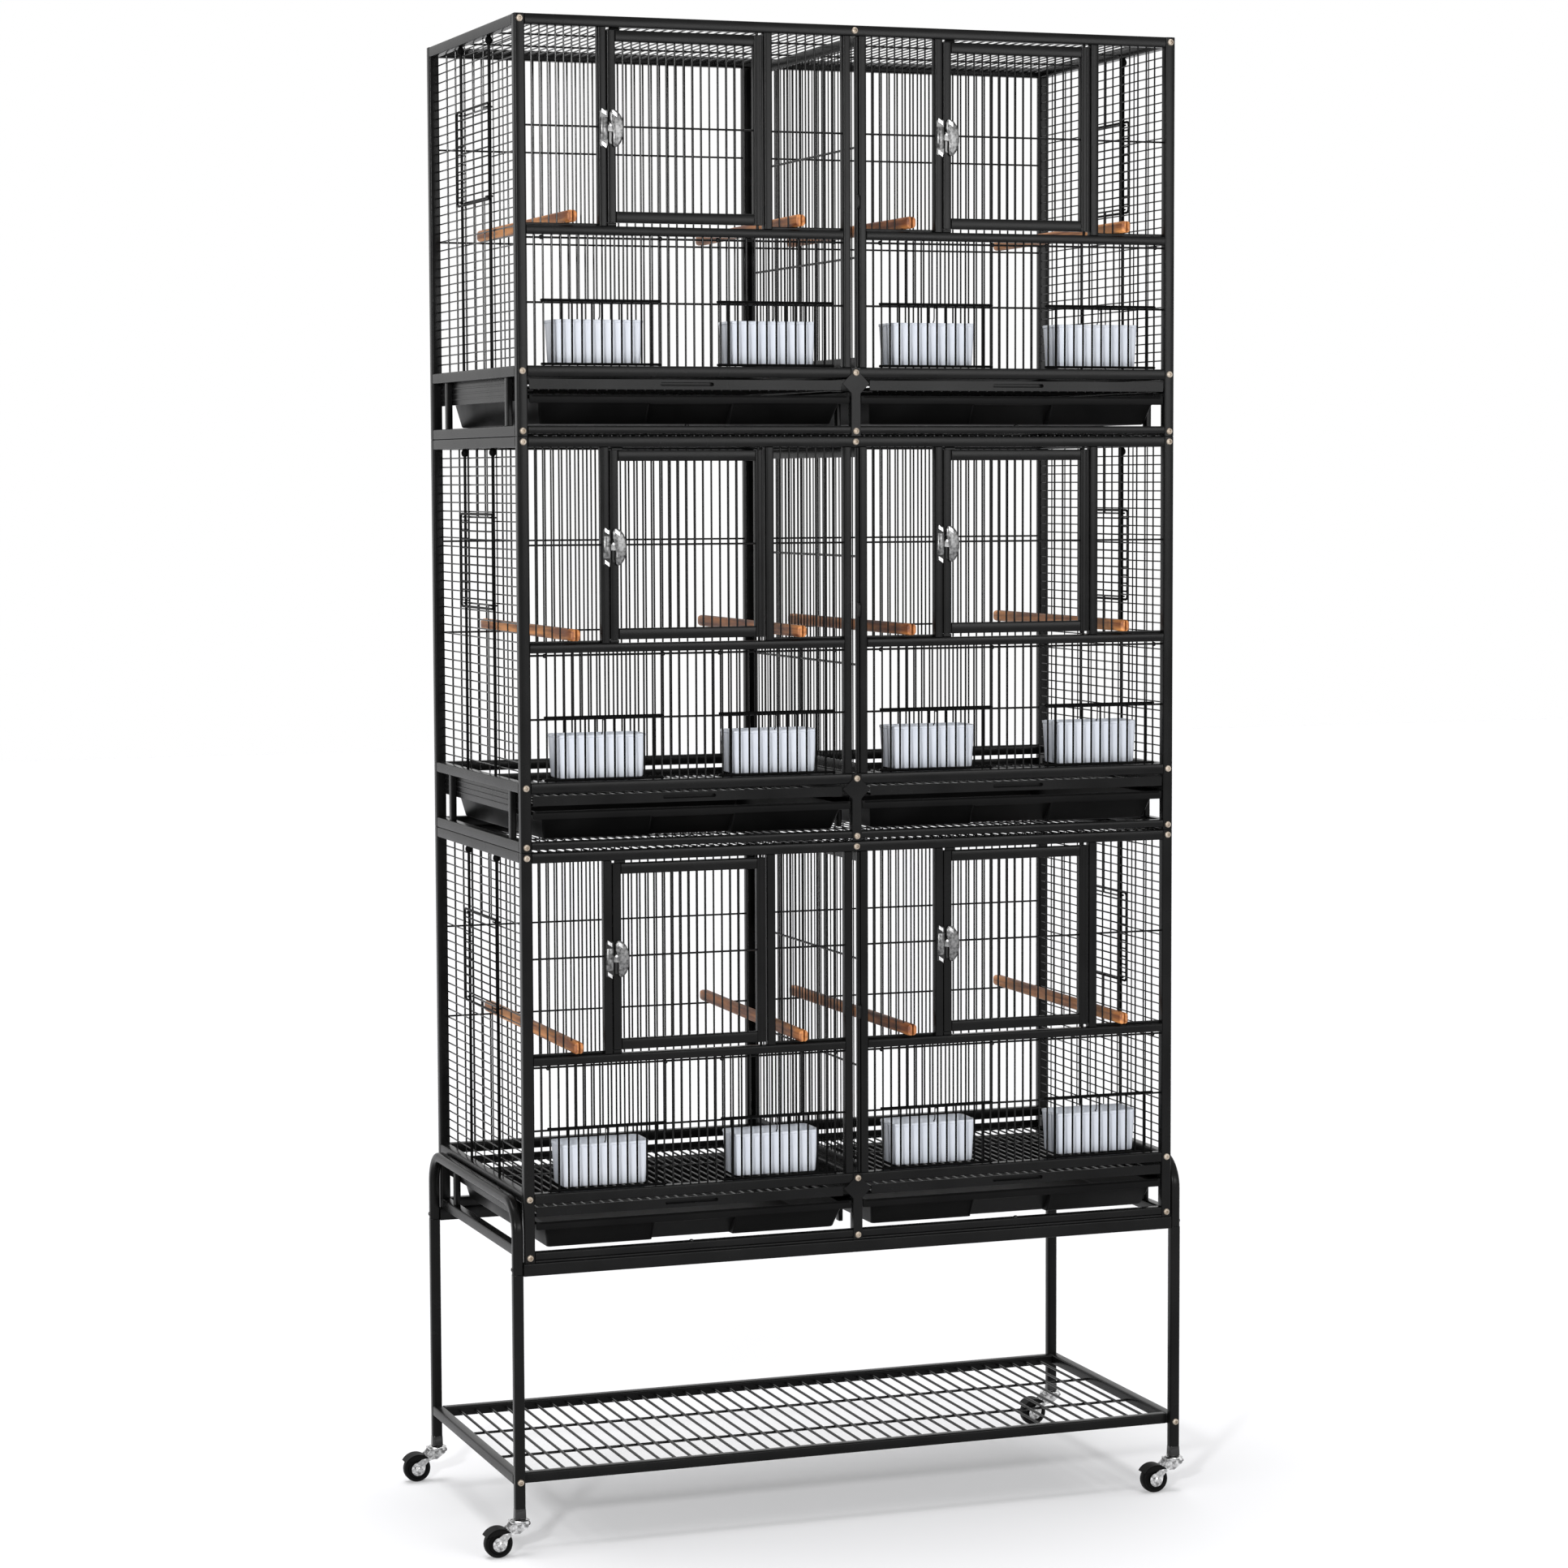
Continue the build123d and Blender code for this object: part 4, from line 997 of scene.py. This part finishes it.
def nest_parts():
    """The right side's wire frame with level wires, hooked round the guide rods."""
    low, high = NEST_Z[0] + NEST_ROD_R, NEST_Z[1] - NEST_ROD_R
    outline = rounded(2 * (NEST_HALF - NEST_ROD_R), high - low, NEST_CORNER, 4)
    path = level(outline, X, NEST_X, (0, (low + high) / 2))
    ring = circle(NEST_ROD_R, WIRE_SIDES)
    along_x = np.eye(3)[X]
    outward = np.cross(unit(np.roll(path, -1, axis=0) - np.roll(path, 1, axis=0)), along_x)
    loops = [point + ring[:, :1] * along_x + ring[:, 1:] * out for point, out in zip(path, outward)]
    parts = [loft(loops, closed=True)]
    reach = around(0, NEST_HALF - 2 * NEST_ROD_R)
    parts += [rod(NEST_X, reach, z, NEST_WIRE_R) for z in spread((low, high), NEST_WIRES + 1)]
    for z in NEST_HOOKS:
        for side in SIDES:
            parts.append(wire([(x, side * y, z) for x, y in NEST_HOOK_LINE], NEST_WIRE_R))
    return parts


for half, parts in (("right", nest_parts()), ("left", mirrored(nest_parts()))):
    nest_mesh = make_mesh(f"{half}_nest_door", parts, ROD_PAINT)
    in_halves("nest_door", "wires", nest_mesh, {half: 0})


# Dividers

DRAWER_FRONT = -HALF_D + 1
DRAWER_BACK = IN_Y - 2
DIVIDER_Z = (FLOOR_TOP + CLEAR, TOP_RAIL_Z - 2 * CLEAR)
DIVIDER_X = 3.2
DIVIDER_T = (-1.7, 1.7)
DIVIDER_BAR = 13
DIVIDER_IN_Y = (DRAWER_FRONT + 8, DRAWER_BACK - DIVIDER_BAR)
DIVIDER_IN_Z = (DIVIDER_Z[0] + DIVIDER_BAR, DIVIDER_Z[1] - DIVIDER_BAR)
DIVIDER_GAPS = 32
DIVIDER_WIRE_R = 0.9
DIVIDER_LEVELS = 3
DIVIDER_CROSS_R = 1.6
PULL = ((DRAWER_FRONT, 310), (12, 20), 4, X, (-1.4, 1.4))


def divider_parts():
    """A flat frame with upright wires, and a tab to draw it out by."""
    ends = ((DRAWER_FRONT, DIVIDER_IN_Y[0]), (DIVIDER_IN_Y[1], DRAWER_BACK))
    parts = [beam(DIVIDER_T, y, DIVIDER_Z, FLAT_EDGE) for y in ends]
    parts += [beam(DIVIDER_T, DIVIDER_IN_Y, z, FLAT_EDGE) for z in zip(DIVIDER_Z, DIVIDER_IN_Z)]
    parts += [rod(0, y, DIVIDER_IN_Z, DIVIDER_WIRE_R) for y in spread(DIVIDER_IN_Y, DIVIDER_GAPS)]
    parts += [rod(0, DIVIDER_IN_Y, z, DIVIDER_CROSS_R) for z in spread(DIVIDER_Z, DIVIDER_LEVELS)]
    return parts + [tag(*PULL)]


divider_mesh = make_mesh("divider", divider_parts(), PAINT)
for tier in TIERS:
    divider = f"{tier}_divider"
    place(f"{divider}_frame", divider_mesh, cage_place(tier, DIVIDER_X), divider, (divider,))


# Floor grilles

GRILLE_HALF = 215.25
GRILLE_BAR = 4
GRILLE_IN = GRILLE_HALF - GRILLE_BAR
GRILLE_X = {half: 235.75 * side for half, side in SIDE_SIGN.items()}
GRILLE_Z = (61, 61 + GRILLE_BAR)
GRILLE_BACK_Z = (61, 72.5)
GRILLE_GAPS = 32
STRIP_T = 1.5
STRIP_H = 13
STRIP_BACK = DRAWER_FRONT + STRIP_T
STRIP_Z = GRILLE_Z[0] + STRIP_H / 2
STRIP_CORNER = 1.2
FINGER_SLOT = (74, 5)
FINGER_SLOT_Z = 68
FINGER_SLOT_CORNER = 2.4
# A dark sheet behind the finger slot, painted shade: it stops light from showing through the slot.
SLOT_SHADE_SHEET = ((-43, 43), (STRIP_BACK + 5, STRIP_BACK + 6), (GRILLE_Z[1] - 0.4, STRIP_Z + 6))


def grille_strip():
    """The front strip with its finger slot, a dark sheet behind the slot as painted shade, and the other
    bars.
    """
    outer = rounded(2 * GRILLE_HALF, STRIP_H, STRIP_CORNER, 4)
    slot = rounded(*FINGER_SLOT, FINGER_SLOT_CORNER, 4)
    loops = [level(outer, Y, y, (0, STRIP_Z)) for y in (STRIP_BACK, DRAWER_FRONT)]
    loops += [level(slot, Y, y, (0, FINGER_SLOT_Z)) for y in (DRAWER_FRONT, STRIP_BACK)]
    parts = [loft(loops, closed=True), beam(*SLOT_SHADE_SHEET, LEAF_EDGE)]
    side_bar = beam((GRILLE_IN, GRILLE_HALF), (STRIP_BACK, DRAWER_BACK), GRILLE_Z, BAR_EDGE)
    parts += mirrored([side_bar]) + [side_bar]
    back_y = (DRAWER_BACK - GRILLE_BAR, DRAWER_BACK)
    parts.append(beam(around(0, GRILLE_IN), back_y, GRILLE_Z, BAR_EDGE))
    edge_y = (DRAWER_BACK - STRIP_T, DRAWER_BACK)
    parts.append(beam(around(0, GRILLE_HALF), edge_y, GRILLE_BACK_Z, STRIP_EDGE))
    return parts


GRILLE_WIRE_Z = GRILLE_Z[0] + GRILLE_BAR / 2
GRILLE_FRONT = DRAWER_FRONT + 16
GRILLE_BEND = 1.6
GRILLE_CREST = GRILLE_WIRE_Z + 8 - WIRE_R
GRILLE_LINE = (
    (DRAWER_BACK - GRILLE_BAR, GRILLE_WIRE_Z), (GRILLE_FRONT + GRILLE_BEND + 10, GRILLE_WIRE_Z),
    *arc((GRILLE_FRONT + GRILLE_BEND, GRILLE_CREST - GRILLE_BEND), GRILLE_BEND, 90, 180, 4),
    (GRILLE_FRONT, GRILLE_Z[0] - 1),
)
GRILLE_CROSS_Z = GRILLE_WIRE_Z + 1.6
GRILLE_CROSS_R = 1


def grille_wires():
    """Wires that rise to a crest behind the strip and turn down, and two across."""
    inner = around(0, GRILLE_IN)
    parts = [wire(at_x(x, GRILLE_LINE)) for x in spread(inner, GRILLE_GAPS)]
    return parts + [rod(inner, y, GRILLE_CROSS_Z, GRILLE_CROSS_R) for y in PAIR_Y]


strip_mesh = make_mesh("grille_strip", grille_strip(), PAINT)
grille_mesh = make_mesh("grille_wires", grille_wires(), GRILLE_PAINT)
in_halves("floor_grille", "strip", strip_mesh, GRILLE_X)
in_halves("floor_grille", "wires", grille_mesh, GRILLE_X)


# Trays

TRAY_HALF = 221.5
TRAY_X = {half: 229.5 * side for half, side in SIDE_SIGN.items()}
TRAY_BODY_HALF = TRAY_HALF - 11.5
TRAY_Z = 16.2
TRAY_RIM = (51, 54)
TRAY_SLOPE = 8.5
TRAY_FRONT_SLOPE = 20
TRAY_WALL = 2
TRAY_FLOOR = TRAY_Z + TRAY_WALL
TRAY_BACK = DRAWER_BACK - 8
TRAY_CORNER = 4
# Heights of the pan's levels, and how far each is drawn in
PAN_OUTSIDE = ((TRAY_Z, 1), (TRAY_Z + 1.2, 0), (TRAY_RIM[0], 0.3))
PAN_RIM = ((TRAY_RIM[0] + 0.2, 0), (TRAY_RIM[1] - 0.5, 0), (TRAY_RIM[1], 0.5))
PAN_INSIDE = ((TRAY_RIM[0], TRAY_WALL), (TRAY_FLOOR + 2, TRAY_WALL), (TRAY_FLOOR, TRAY_WALL + 2))
TRAY_GRIP = 57
TRAY_GRIP_DEEP = 13
TRAY_GRIP_END = TRAY_GRIP + 1.2
BAND_Z = 43
BAND_LAP = 1
BEAD_R = 1.2
GRIP_BEAD_R = 1.8
RIB_R = 1.4
RIB_LINE = ((DRAWER_FRONT + 5, BAND_Z), (DRAWER_FRONT + TRAY_FRONT_SLOPE - 0.4, TRAY_Z + 1.4))


def tray_ring(half, front, back, sunk, z):
    """One level of the tray, whose front may lie further back in the middle."""
    x = half - TRAY_CORNER
    right = [(TRAY_GRIP, front + sunk), (TRAY_GRIP_END, front)]
    right += arc((x, front + TRAY_CORNER), TRAY_CORNER, 270, 360, 3)
    right += arc((x, back - TRAY_CORNER), TRAY_CORNER, 0, 90, 3)
    return level(symmetric(right), Z, z)


def tray_pan():
    """The tapered pan and its flat rim, as one shell."""
    def wall(z, draw):
        fall = (TRAY_RIM[0] - z) / (TRAY_RIM[0] - TRAY_Z)
        half = TRAY_BODY_HALF - TRAY_SLOPE * fall - draw
        front = DRAWER_FRONT + TRAY_FRONT_SLOPE * fall + draw
        return tray_ring(half, front, TRAY_BACK - TRAY_SLOPE * fall - draw, TRAY_GRIP_DEEP * fall, z)

    def rim(z, draw):
        return tray_ring(TRAY_HALF - draw, DRAWER_FRONT + draw, DRAWER_BACK - draw, 0, z)

    loops = [wall(*stop) for stop in PAN_OUTSIDE]
    loops += [rim(*stop) for stop in PAN_RIM]
    return loft(loops + [wall(*stop) for stop in PAN_INSIDE])


def tray_band():
    """The band along the rim's front, the beads under it, and ribs at the grip's ends."""
    band_y = (DRAWER_FRONT, DRAWER_FRONT + TRAY_WALL)
    parts = [beam(around(0, TRAY_HALF), band_y, (BAND_Z + BAND_LAP, TRAY_RIM[1]), STRIP_EDGE)]
    parts.append(rod(around(0, TRAY_HALF - BAND_LAP), DRAWER_FRONT + BEAD_R, BAND_Z + BEAD_R, BEAD_R))
    parts.append(rod(around(0, TRAY_GRIP), DRAWER_FRONT + GRIP_BEAD_R, BAND_Z + BAND_LAP, GRIP_BEAD_R))
    return parts + [wire(at_x(x, RIB_LINE), RIB_R) for x in around(0, TRAY_GRIP_END)]


tray_mesh = make_mesh("tray", [tray_pan()] + tray_band(), TRAY_BLACK)
in_halves("tray", "pan", tray_mesh, TRAY_X)


# Rolling stand

LEG_X = (STAND_HIGH[X] - STAND_LOW[X] - TUBE) / 2
LEG_Y = STAND_HIGH[Y] - TUBE / 2
LEG_PAIR = (-LEG_Y, LEG_Y)
LEG_EDGE = 3.2
LEG_BOTTOM = STAND_LOW[Z]
SLEEVE_Z = STAND_H - 15
LEG_Z = (LEG_BOTTOM + 2, SLEEVE_Z)
HOOP_LOW = SLEEVE_Z + 0.4
HOOP_BEND = 40
HOOP_EDGE = 4.6
HOOP_ARC_Z = STAND_HIGH[Z] - TUBE / 2 - HOOP_BEND
HOOP_LINE = (
    (-LEG_Y, HOOP_LOW),
    *arc((-LEG_Y + HOOP_BEND, HOOP_ARC_Z), HOOP_BEND, 180, 90, 12),
    *arc((LEG_Y - HOOP_BEND, HOOP_ARC_Z), HOOP_BEND, 90, 0, 12),
    (LEG_Y, HOOP_LOW),
)
BETWEEN_LEGS_X = around(0, LEG_X - TUBE / 2)
BETWEEN_LEGS_Y = around(0, LEG_Y - TUBE / 2)
SEAT_Z = (STAND_H - 17.5, STAND_H)
SHELF_Z = (93.5, 93.5 + TUBE)
SHELF_RAIL_Y = LEG_Y - TUBE
SHELF_WIRE_Y = around(0, SHELF_RAIL_Y - TUBE / 2)
SHELF_WIRE_Z = sum(SHELF_Z) / 2
SHELF_WIRE_R = 1.9
SHELF_GAPS = 42
SHELF_CROSS_Z = SHELF_WIRE_Z - 2 * SHELF_WIRE_R + 0.2
# Width of a leg's plastic sleeve by its height over the leg's end
LEG_SLEEVE = ((14.4, 0.2), (15.4, 1), (15.2, 3.5), (14.6, 13), (14.1, 14))
HOOP_STUD_Z = SLEEVE_Z + 7
SHELF_BOLT_Z = SHELF_WIRE_Z - 2


def hoop_parts(x):
    """One side of the stand: two legs and the hoop over them."""
    parts = [sweep(at_x(x, HOOP_LINE), rounded(TUBE, TUBE, HOOP_EDGE, 4), np.eye(3)[X])]
    for y in LEG_PAIR:
        parts.append(beam(around(x, TUBE / 2), around(y, TUBE / 2), LEG_Z, LEG_EDGE))
    return parts


def stand_rails():
    """The rails and the seam's strip under the lowest cage, and the shelf's rails."""
    parts = [beam(BETWEEN_LEGS_X, around(y, TUBE / 2), SEAT_Z) for y in LEG_PAIR]
    parts.append(beam(INNER_X, FRONT_Y, (STAND_H, STAND_H + SEAM)))
    parts += [beam(BETWEEN_LEGS_X, around(y, TUBE / 2), SHELF_Z) for y in around(0, SHELF_RAIL_Y)]
    return parts + [beam(around(x, TUBE / 2), BETWEEN_LEGS_Y, SHELF_Z) for x in around(0, LEG_X)]


def shelf_wires():
    parts = []
    for x in spread(BETWEEN_LEGS_X, SHELF_GAPS):
        parts.append(rod(x, SHELF_WIRE_Y, SHELF_WIRE_Z, SHELF_WIRE_R))
    return parts + [rod(BETWEEN_LEGS_X, y, SHELF_CROSS_Z, SHELF_WIRE_R) for y in PAIR_Y]


def stand_caps():
    """Plastic sleeves at the legs' feet, and small studs beside the hoops' ends."""
    parts = []
    for side in SIDES:
        x = side * LEG_X
        for y in LEG_PAIR:
            loops = [level(rounded(w, w, LEG_EDGE), Z, LEG_BOTTOM + h, (x, y)) for w, h in LEG_SLEEVE]
            stud = raised(STUD_PROFILE, x + side * TUBE / 2, side)
            parts += [loft(loops), lathe(stud, X, (y, HOOP_STUD_Z), STUD_SIDES)]
    return parts


stand_bolts = [bolt(x, -LEG_Y - TUBE / 2, SHELF_BOLT_Z) for x in around(0, LEG_X)]
for name, parts, material, slot, nodes in (
    ("stand_hoops", hoop_parts(-LEG_X) + hoop_parts(LEG_X), PAINT, BLACK, ("rolling_stand",)),
    ("stand_rails", stand_rails(), PAINT, BLACK, ("rolling_stand",)),
    ("shelf_wires", shelf_wires(), WIRE_PAINT, BLACK, ("rolling_stand",)),
    ("stand_caps", stand_caps(), GLOSS_BLACK, BLACK, ()),
    ("stand_bolts", stand_bolts, ZINC, "chrome", ()),
):
    place(name, make_mesh(name, parts, material), (MIDDLE_X, 0, 0), "root", nodes)


# Casters, drawn round the stem's line, with x to the right of it

WHEEL_R = 19
WHEEL_W = 15
AXLE_AT = (-30, WHEEL_R)
AXLE_R = 2.5
STEM_R = 4
STEM_L = 28
PLATE_TOP = LEG_BOTTOM - CLEAR
FORK_TOP = PLATE_TOP - 3
RACE_R = 13
RACE = (
    (STEM_R, STEM_L), (STEM_R, 0), (8, 0), (RACE_R - 1.2, -0.3), (RACE_R, -1.2), (RACE_R, -2.6),
    (RACE_R - 1.4, -3.8), (7, -4.2), (0.1, -4.2),
)
CHEEK_IN = WHEEL_W / 2 + 1
CHEEK_T = 2
CHEEK_OUT = CHEEK_IN + CHEEK_T
CHEEK_OUTLINE = (
    *arc(AXLE_AT, 9.6, 96, 350, 20),
    *arc((-6, WHEEL_R - 3), 15.6, 148, 78, 8),
    (9, FORK_TOP - 6), (11, FORK_TOP), (-11, FORK_TOP), (-17, FORK_TOP - 6.5),
    (-22, FORK_TOP - 10),
)
AXLE_HEAD = ((0.1, 2), (2.6, 1.8), (4.4, 0.8), (4.8, -0.2))
AXLE_LAP = 0.5
BRIDGE = (24, 2 * CHEEK_OUT - 0.4)
BRIDGE_CORNER = 2
BRIDGE_AT = (-1.5, 0)
BRIDGE_Z = (FORK_TOP - 0.6, FORK_TOP + 1.4)
HOOD_IN_R = 19.8
HOOD_OUT_R = 21.2
HOOD_ANGLES = (46, 150)
HOOD_SIDE = CHEEK_OUT + 0.1
HOOD_WALL = 0.8
HOOD_SOFT = 0.3
HOOD_WALL_SOFT = 0.2
KNOB_R = 3.2
KNOB_AT = (10.4, PLATE_TOP - 5.2)
# Radius of the wheel's right side, and how far it lies inside the wheel's width
WHEEL_SIDE = (
    (AXLE_R + 0.1, 0), (5, 0), (6, -1.4), (13, -1.6), (14.4, -0.2), (16.8, -0.1), (18.4, -1.6),
    (WHEEL_R, -3.6),
)


def caster_fork():
    """A raceway, two waisted cheeks, and the axle with its rivet heads."""
    parts = [lathe(raised(RACE, PLATE_TOP), Z, (0, 0), RACE_SIDES)]
    parts += [plate(CHEEK_OUTLINE, Y, y) for y in ((CHEEK_IN, CHEEK_OUT), (-CHEEK_OUT, -CHEEK_IN))]
    for side in SIDES:
        parts.append(lathe(raised(AXLE_HEAD, side * CHEEK_OUT, side), Y, AXLE_AT, BOLT_SIDES))
    axle = [(AXLE_R, y) for y in around(0, CHEEK_IN + AXLE_LAP)]
    parts.append(lathe(axle, Y, AXLE_AT, BOLT_SIDES))
    bridge = rounded(*BRIDGE, BRIDGE_CORNER)
    return parts + [loft([level(bridge, Z, z, BRIDGE_AT) for z in BRIDGE_Z])]


def caster_hood():
    """The guard over the wheel, and the knob at the fork's other end."""
    outer = arc(AXLE_AT, HOOD_OUT_R, *HOOD_ANGLES, 16)
    inner = arc(AXLE_AT, HOOD_IN_R, *reversed(HOOD_ANGLES), 16)
    wall = HOOD_SIDE + HOOD_WALL
    parts = [plate(outer + inner, Y, (-wall, wall), HOOD_SOFT)]
    parts += [plate(outer, Y, y, HOOD_WALL_SOFT) for y in ((-wall, -HOOD_SIDE), (HOOD_SIDE, wall))]
    return parts + [lathe(ball(KNOB_R, CHEEK_OUT), Y, KNOB_AT, STUD_SIDES)]


def caster_wheel():
    """A wheel with a rounded tread, sunk sides and a bore for the axle."""
    right = raised(WHEEL_SIDE, WHEEL_W / 2)
    left = [(radius, -y) for radius, y in reversed(right)]
    return lathe(right + left, Y, AXLE_AT, TREAD_SIDES, closed=True)


fork_mesh = make_mesh("caster_fork", caster_fork(), CHROME_WITH_PAINTED_REFLECTIONS)
hood_mesh = make_mesh("caster_hood", caster_hood(), RUBBER)
wheel_mesh = make_mesh("caster_wheel", [caster_wheel()], RUBBER)
for depth_name, y in zip(("front", "back"), LEG_PAIR):
    for half in HALVES:
        caster = f"{depth_name}_{half}_caster"
        fork, wheel = f"{caster}_fork", f"{caster}_wheel"
        at = (MIDDLE_X + SIDE_SIGN[half] * LEG_X, y, 0)
        place(f"{fork}_body", fork_mesh, at, fork, (fork,))
        place(f"{caster}_hood", hood_mesh, at, fork)
        place(f"{wheel}_body", wheel_mesh, at, wheel, (wheel,))


# Floor, light and camera, in metres

FLOOR_CORNERS = ((-15, -15, 0), (15, -15, 0), (15, 15, 0), (-15, 15, 0))
FLOOR_FINISH = {"Base Color": (0.94, 0.94, 0.96, 1), "Roughness": 0.9, "Specular IOR Level": 0.1}
FLOOR_WHITE = 0.25
WHITE = (1, 1, 1, 1)
AMBIENT = 0.35


def where_seen(tree, elsewhere, seen):
    """One level where the camera, a mirror or glass looks, and another where light is gathered."""
    path = tree.nodes.new("ShaderNodeLightPath")
    total = path.outputs["Is Camera Ray"]
    for name in ("Is Glossy Ray", "Is Transmission Ray"):
        total = add(tree, "Math", "Value", {0: total, 1: path.outputs[name]}, operation="MAXIMUM")
    return add(tree, "MapRange", "Result", {"Value": total, "To Min": elsewhere, "To Max": seen})


def floor_material():
    """A pale floor that keeps shadows, with some white added where it is seen."""
    material, tree, shader = new_material("floor")
    feed(tree, shader, FLOOR_FINISH)
    share = where_seen(tree, 0, FLOOR_WHITE)
    glow = add(tree, "Emission", "Emission", {})
    surface = add(tree, "MixShader", "Shader", {0: share, 1: shader.outputs["BSDF"], 2: glow})
    feed(tree, tree.nodes["Material Output"], {"Surface": surface})
    return material


def make_floor():
    mesh = bpy.data.meshes.new("floor")
    mesh.from_pydata(FLOOR_CORNERS, [], [range(len(FLOOR_CORNERS))])
    mesh.materials.append(floor_material())
    floor = bpy.data.objects.new("floor", mesh)
    SCENE.collection.objects.link(floor)


def make_world():
    """White where it is seen, and a plain soft light elsewhere."""
    world = bpy.data.worlds.new("studio")
    SCENE.world = world
    world.use_nodes = True
    tree = world.node_tree
    feed(tree, tree.nodes["Background"], {"Color": WHITE, "Strength": where_seen(tree, AMBIENT, 1)})


# Name, kind, place, target and settings
LIGHTS = (
    ("key", "SUN", (-0.1, 0.3, 3), (0, 0, 0), {"angle": 0.7, "energy": 2.25}),
    ("front", "AREA", (-3.3, -4.9, 2.4), (0, 0, 1), {"size": 0.4, "energy": 170}),
    (
        "fill", "AREA", (1.9, -5.2, 2.02), (0, 0, 1.7),
        {"shape": "RECTANGLE", "size": 2.6, "size_y": 1.1, "energy": 78},
    ),
)


def make_lights():
    for name, kind, at, target, settings in LIGHTS:
        lamp = bpy.data.objects.new(name, bpy.data.lights.new(name, kind))
        assign(lamp.data, settings)
        lamp.location = at
        lamp.rotation_mode = "QUATERNION"
        lamp.rotation_quaternion = (Vector(target) - Vector(at)).to_track_quat("-Z", "Y")
        SCENE.collection.objects.link(lamp)


# The camera's place, its turn, tilt and roll in radians, and its lens and sensor in millimetres
CAMERA_AT = (-1.8613, -5.1275, 1.4147)
CAMERA_TURNS = ((-0.3471, "Z"), (math.pi / 2 - 0.0772, "X"), (-0.0039, "Z"))
CAMERA_SETTINGS = {"sensor_width": 36, "lens": 90.27}


def make_camera():
    camera = bpy.data.objects.new("camera", bpy.data.cameras.new("camera"))
    assign(camera.data, CAMERA_SETTINGS)
    pose = Matrix.Translation(CAMERA_AT)
    for angle, axis in CAMERA_TURNS:
        pose = pose @ Matrix.Rotation(angle, 4, axis)
    camera.matrix_world = pose
    SCENE.collection.objects.link(camera)
    SCENE.camera = camera


make_floor()
make_world()
make_lights()
make_camera()
SCENE.view_settings.view_transform = "Standard"
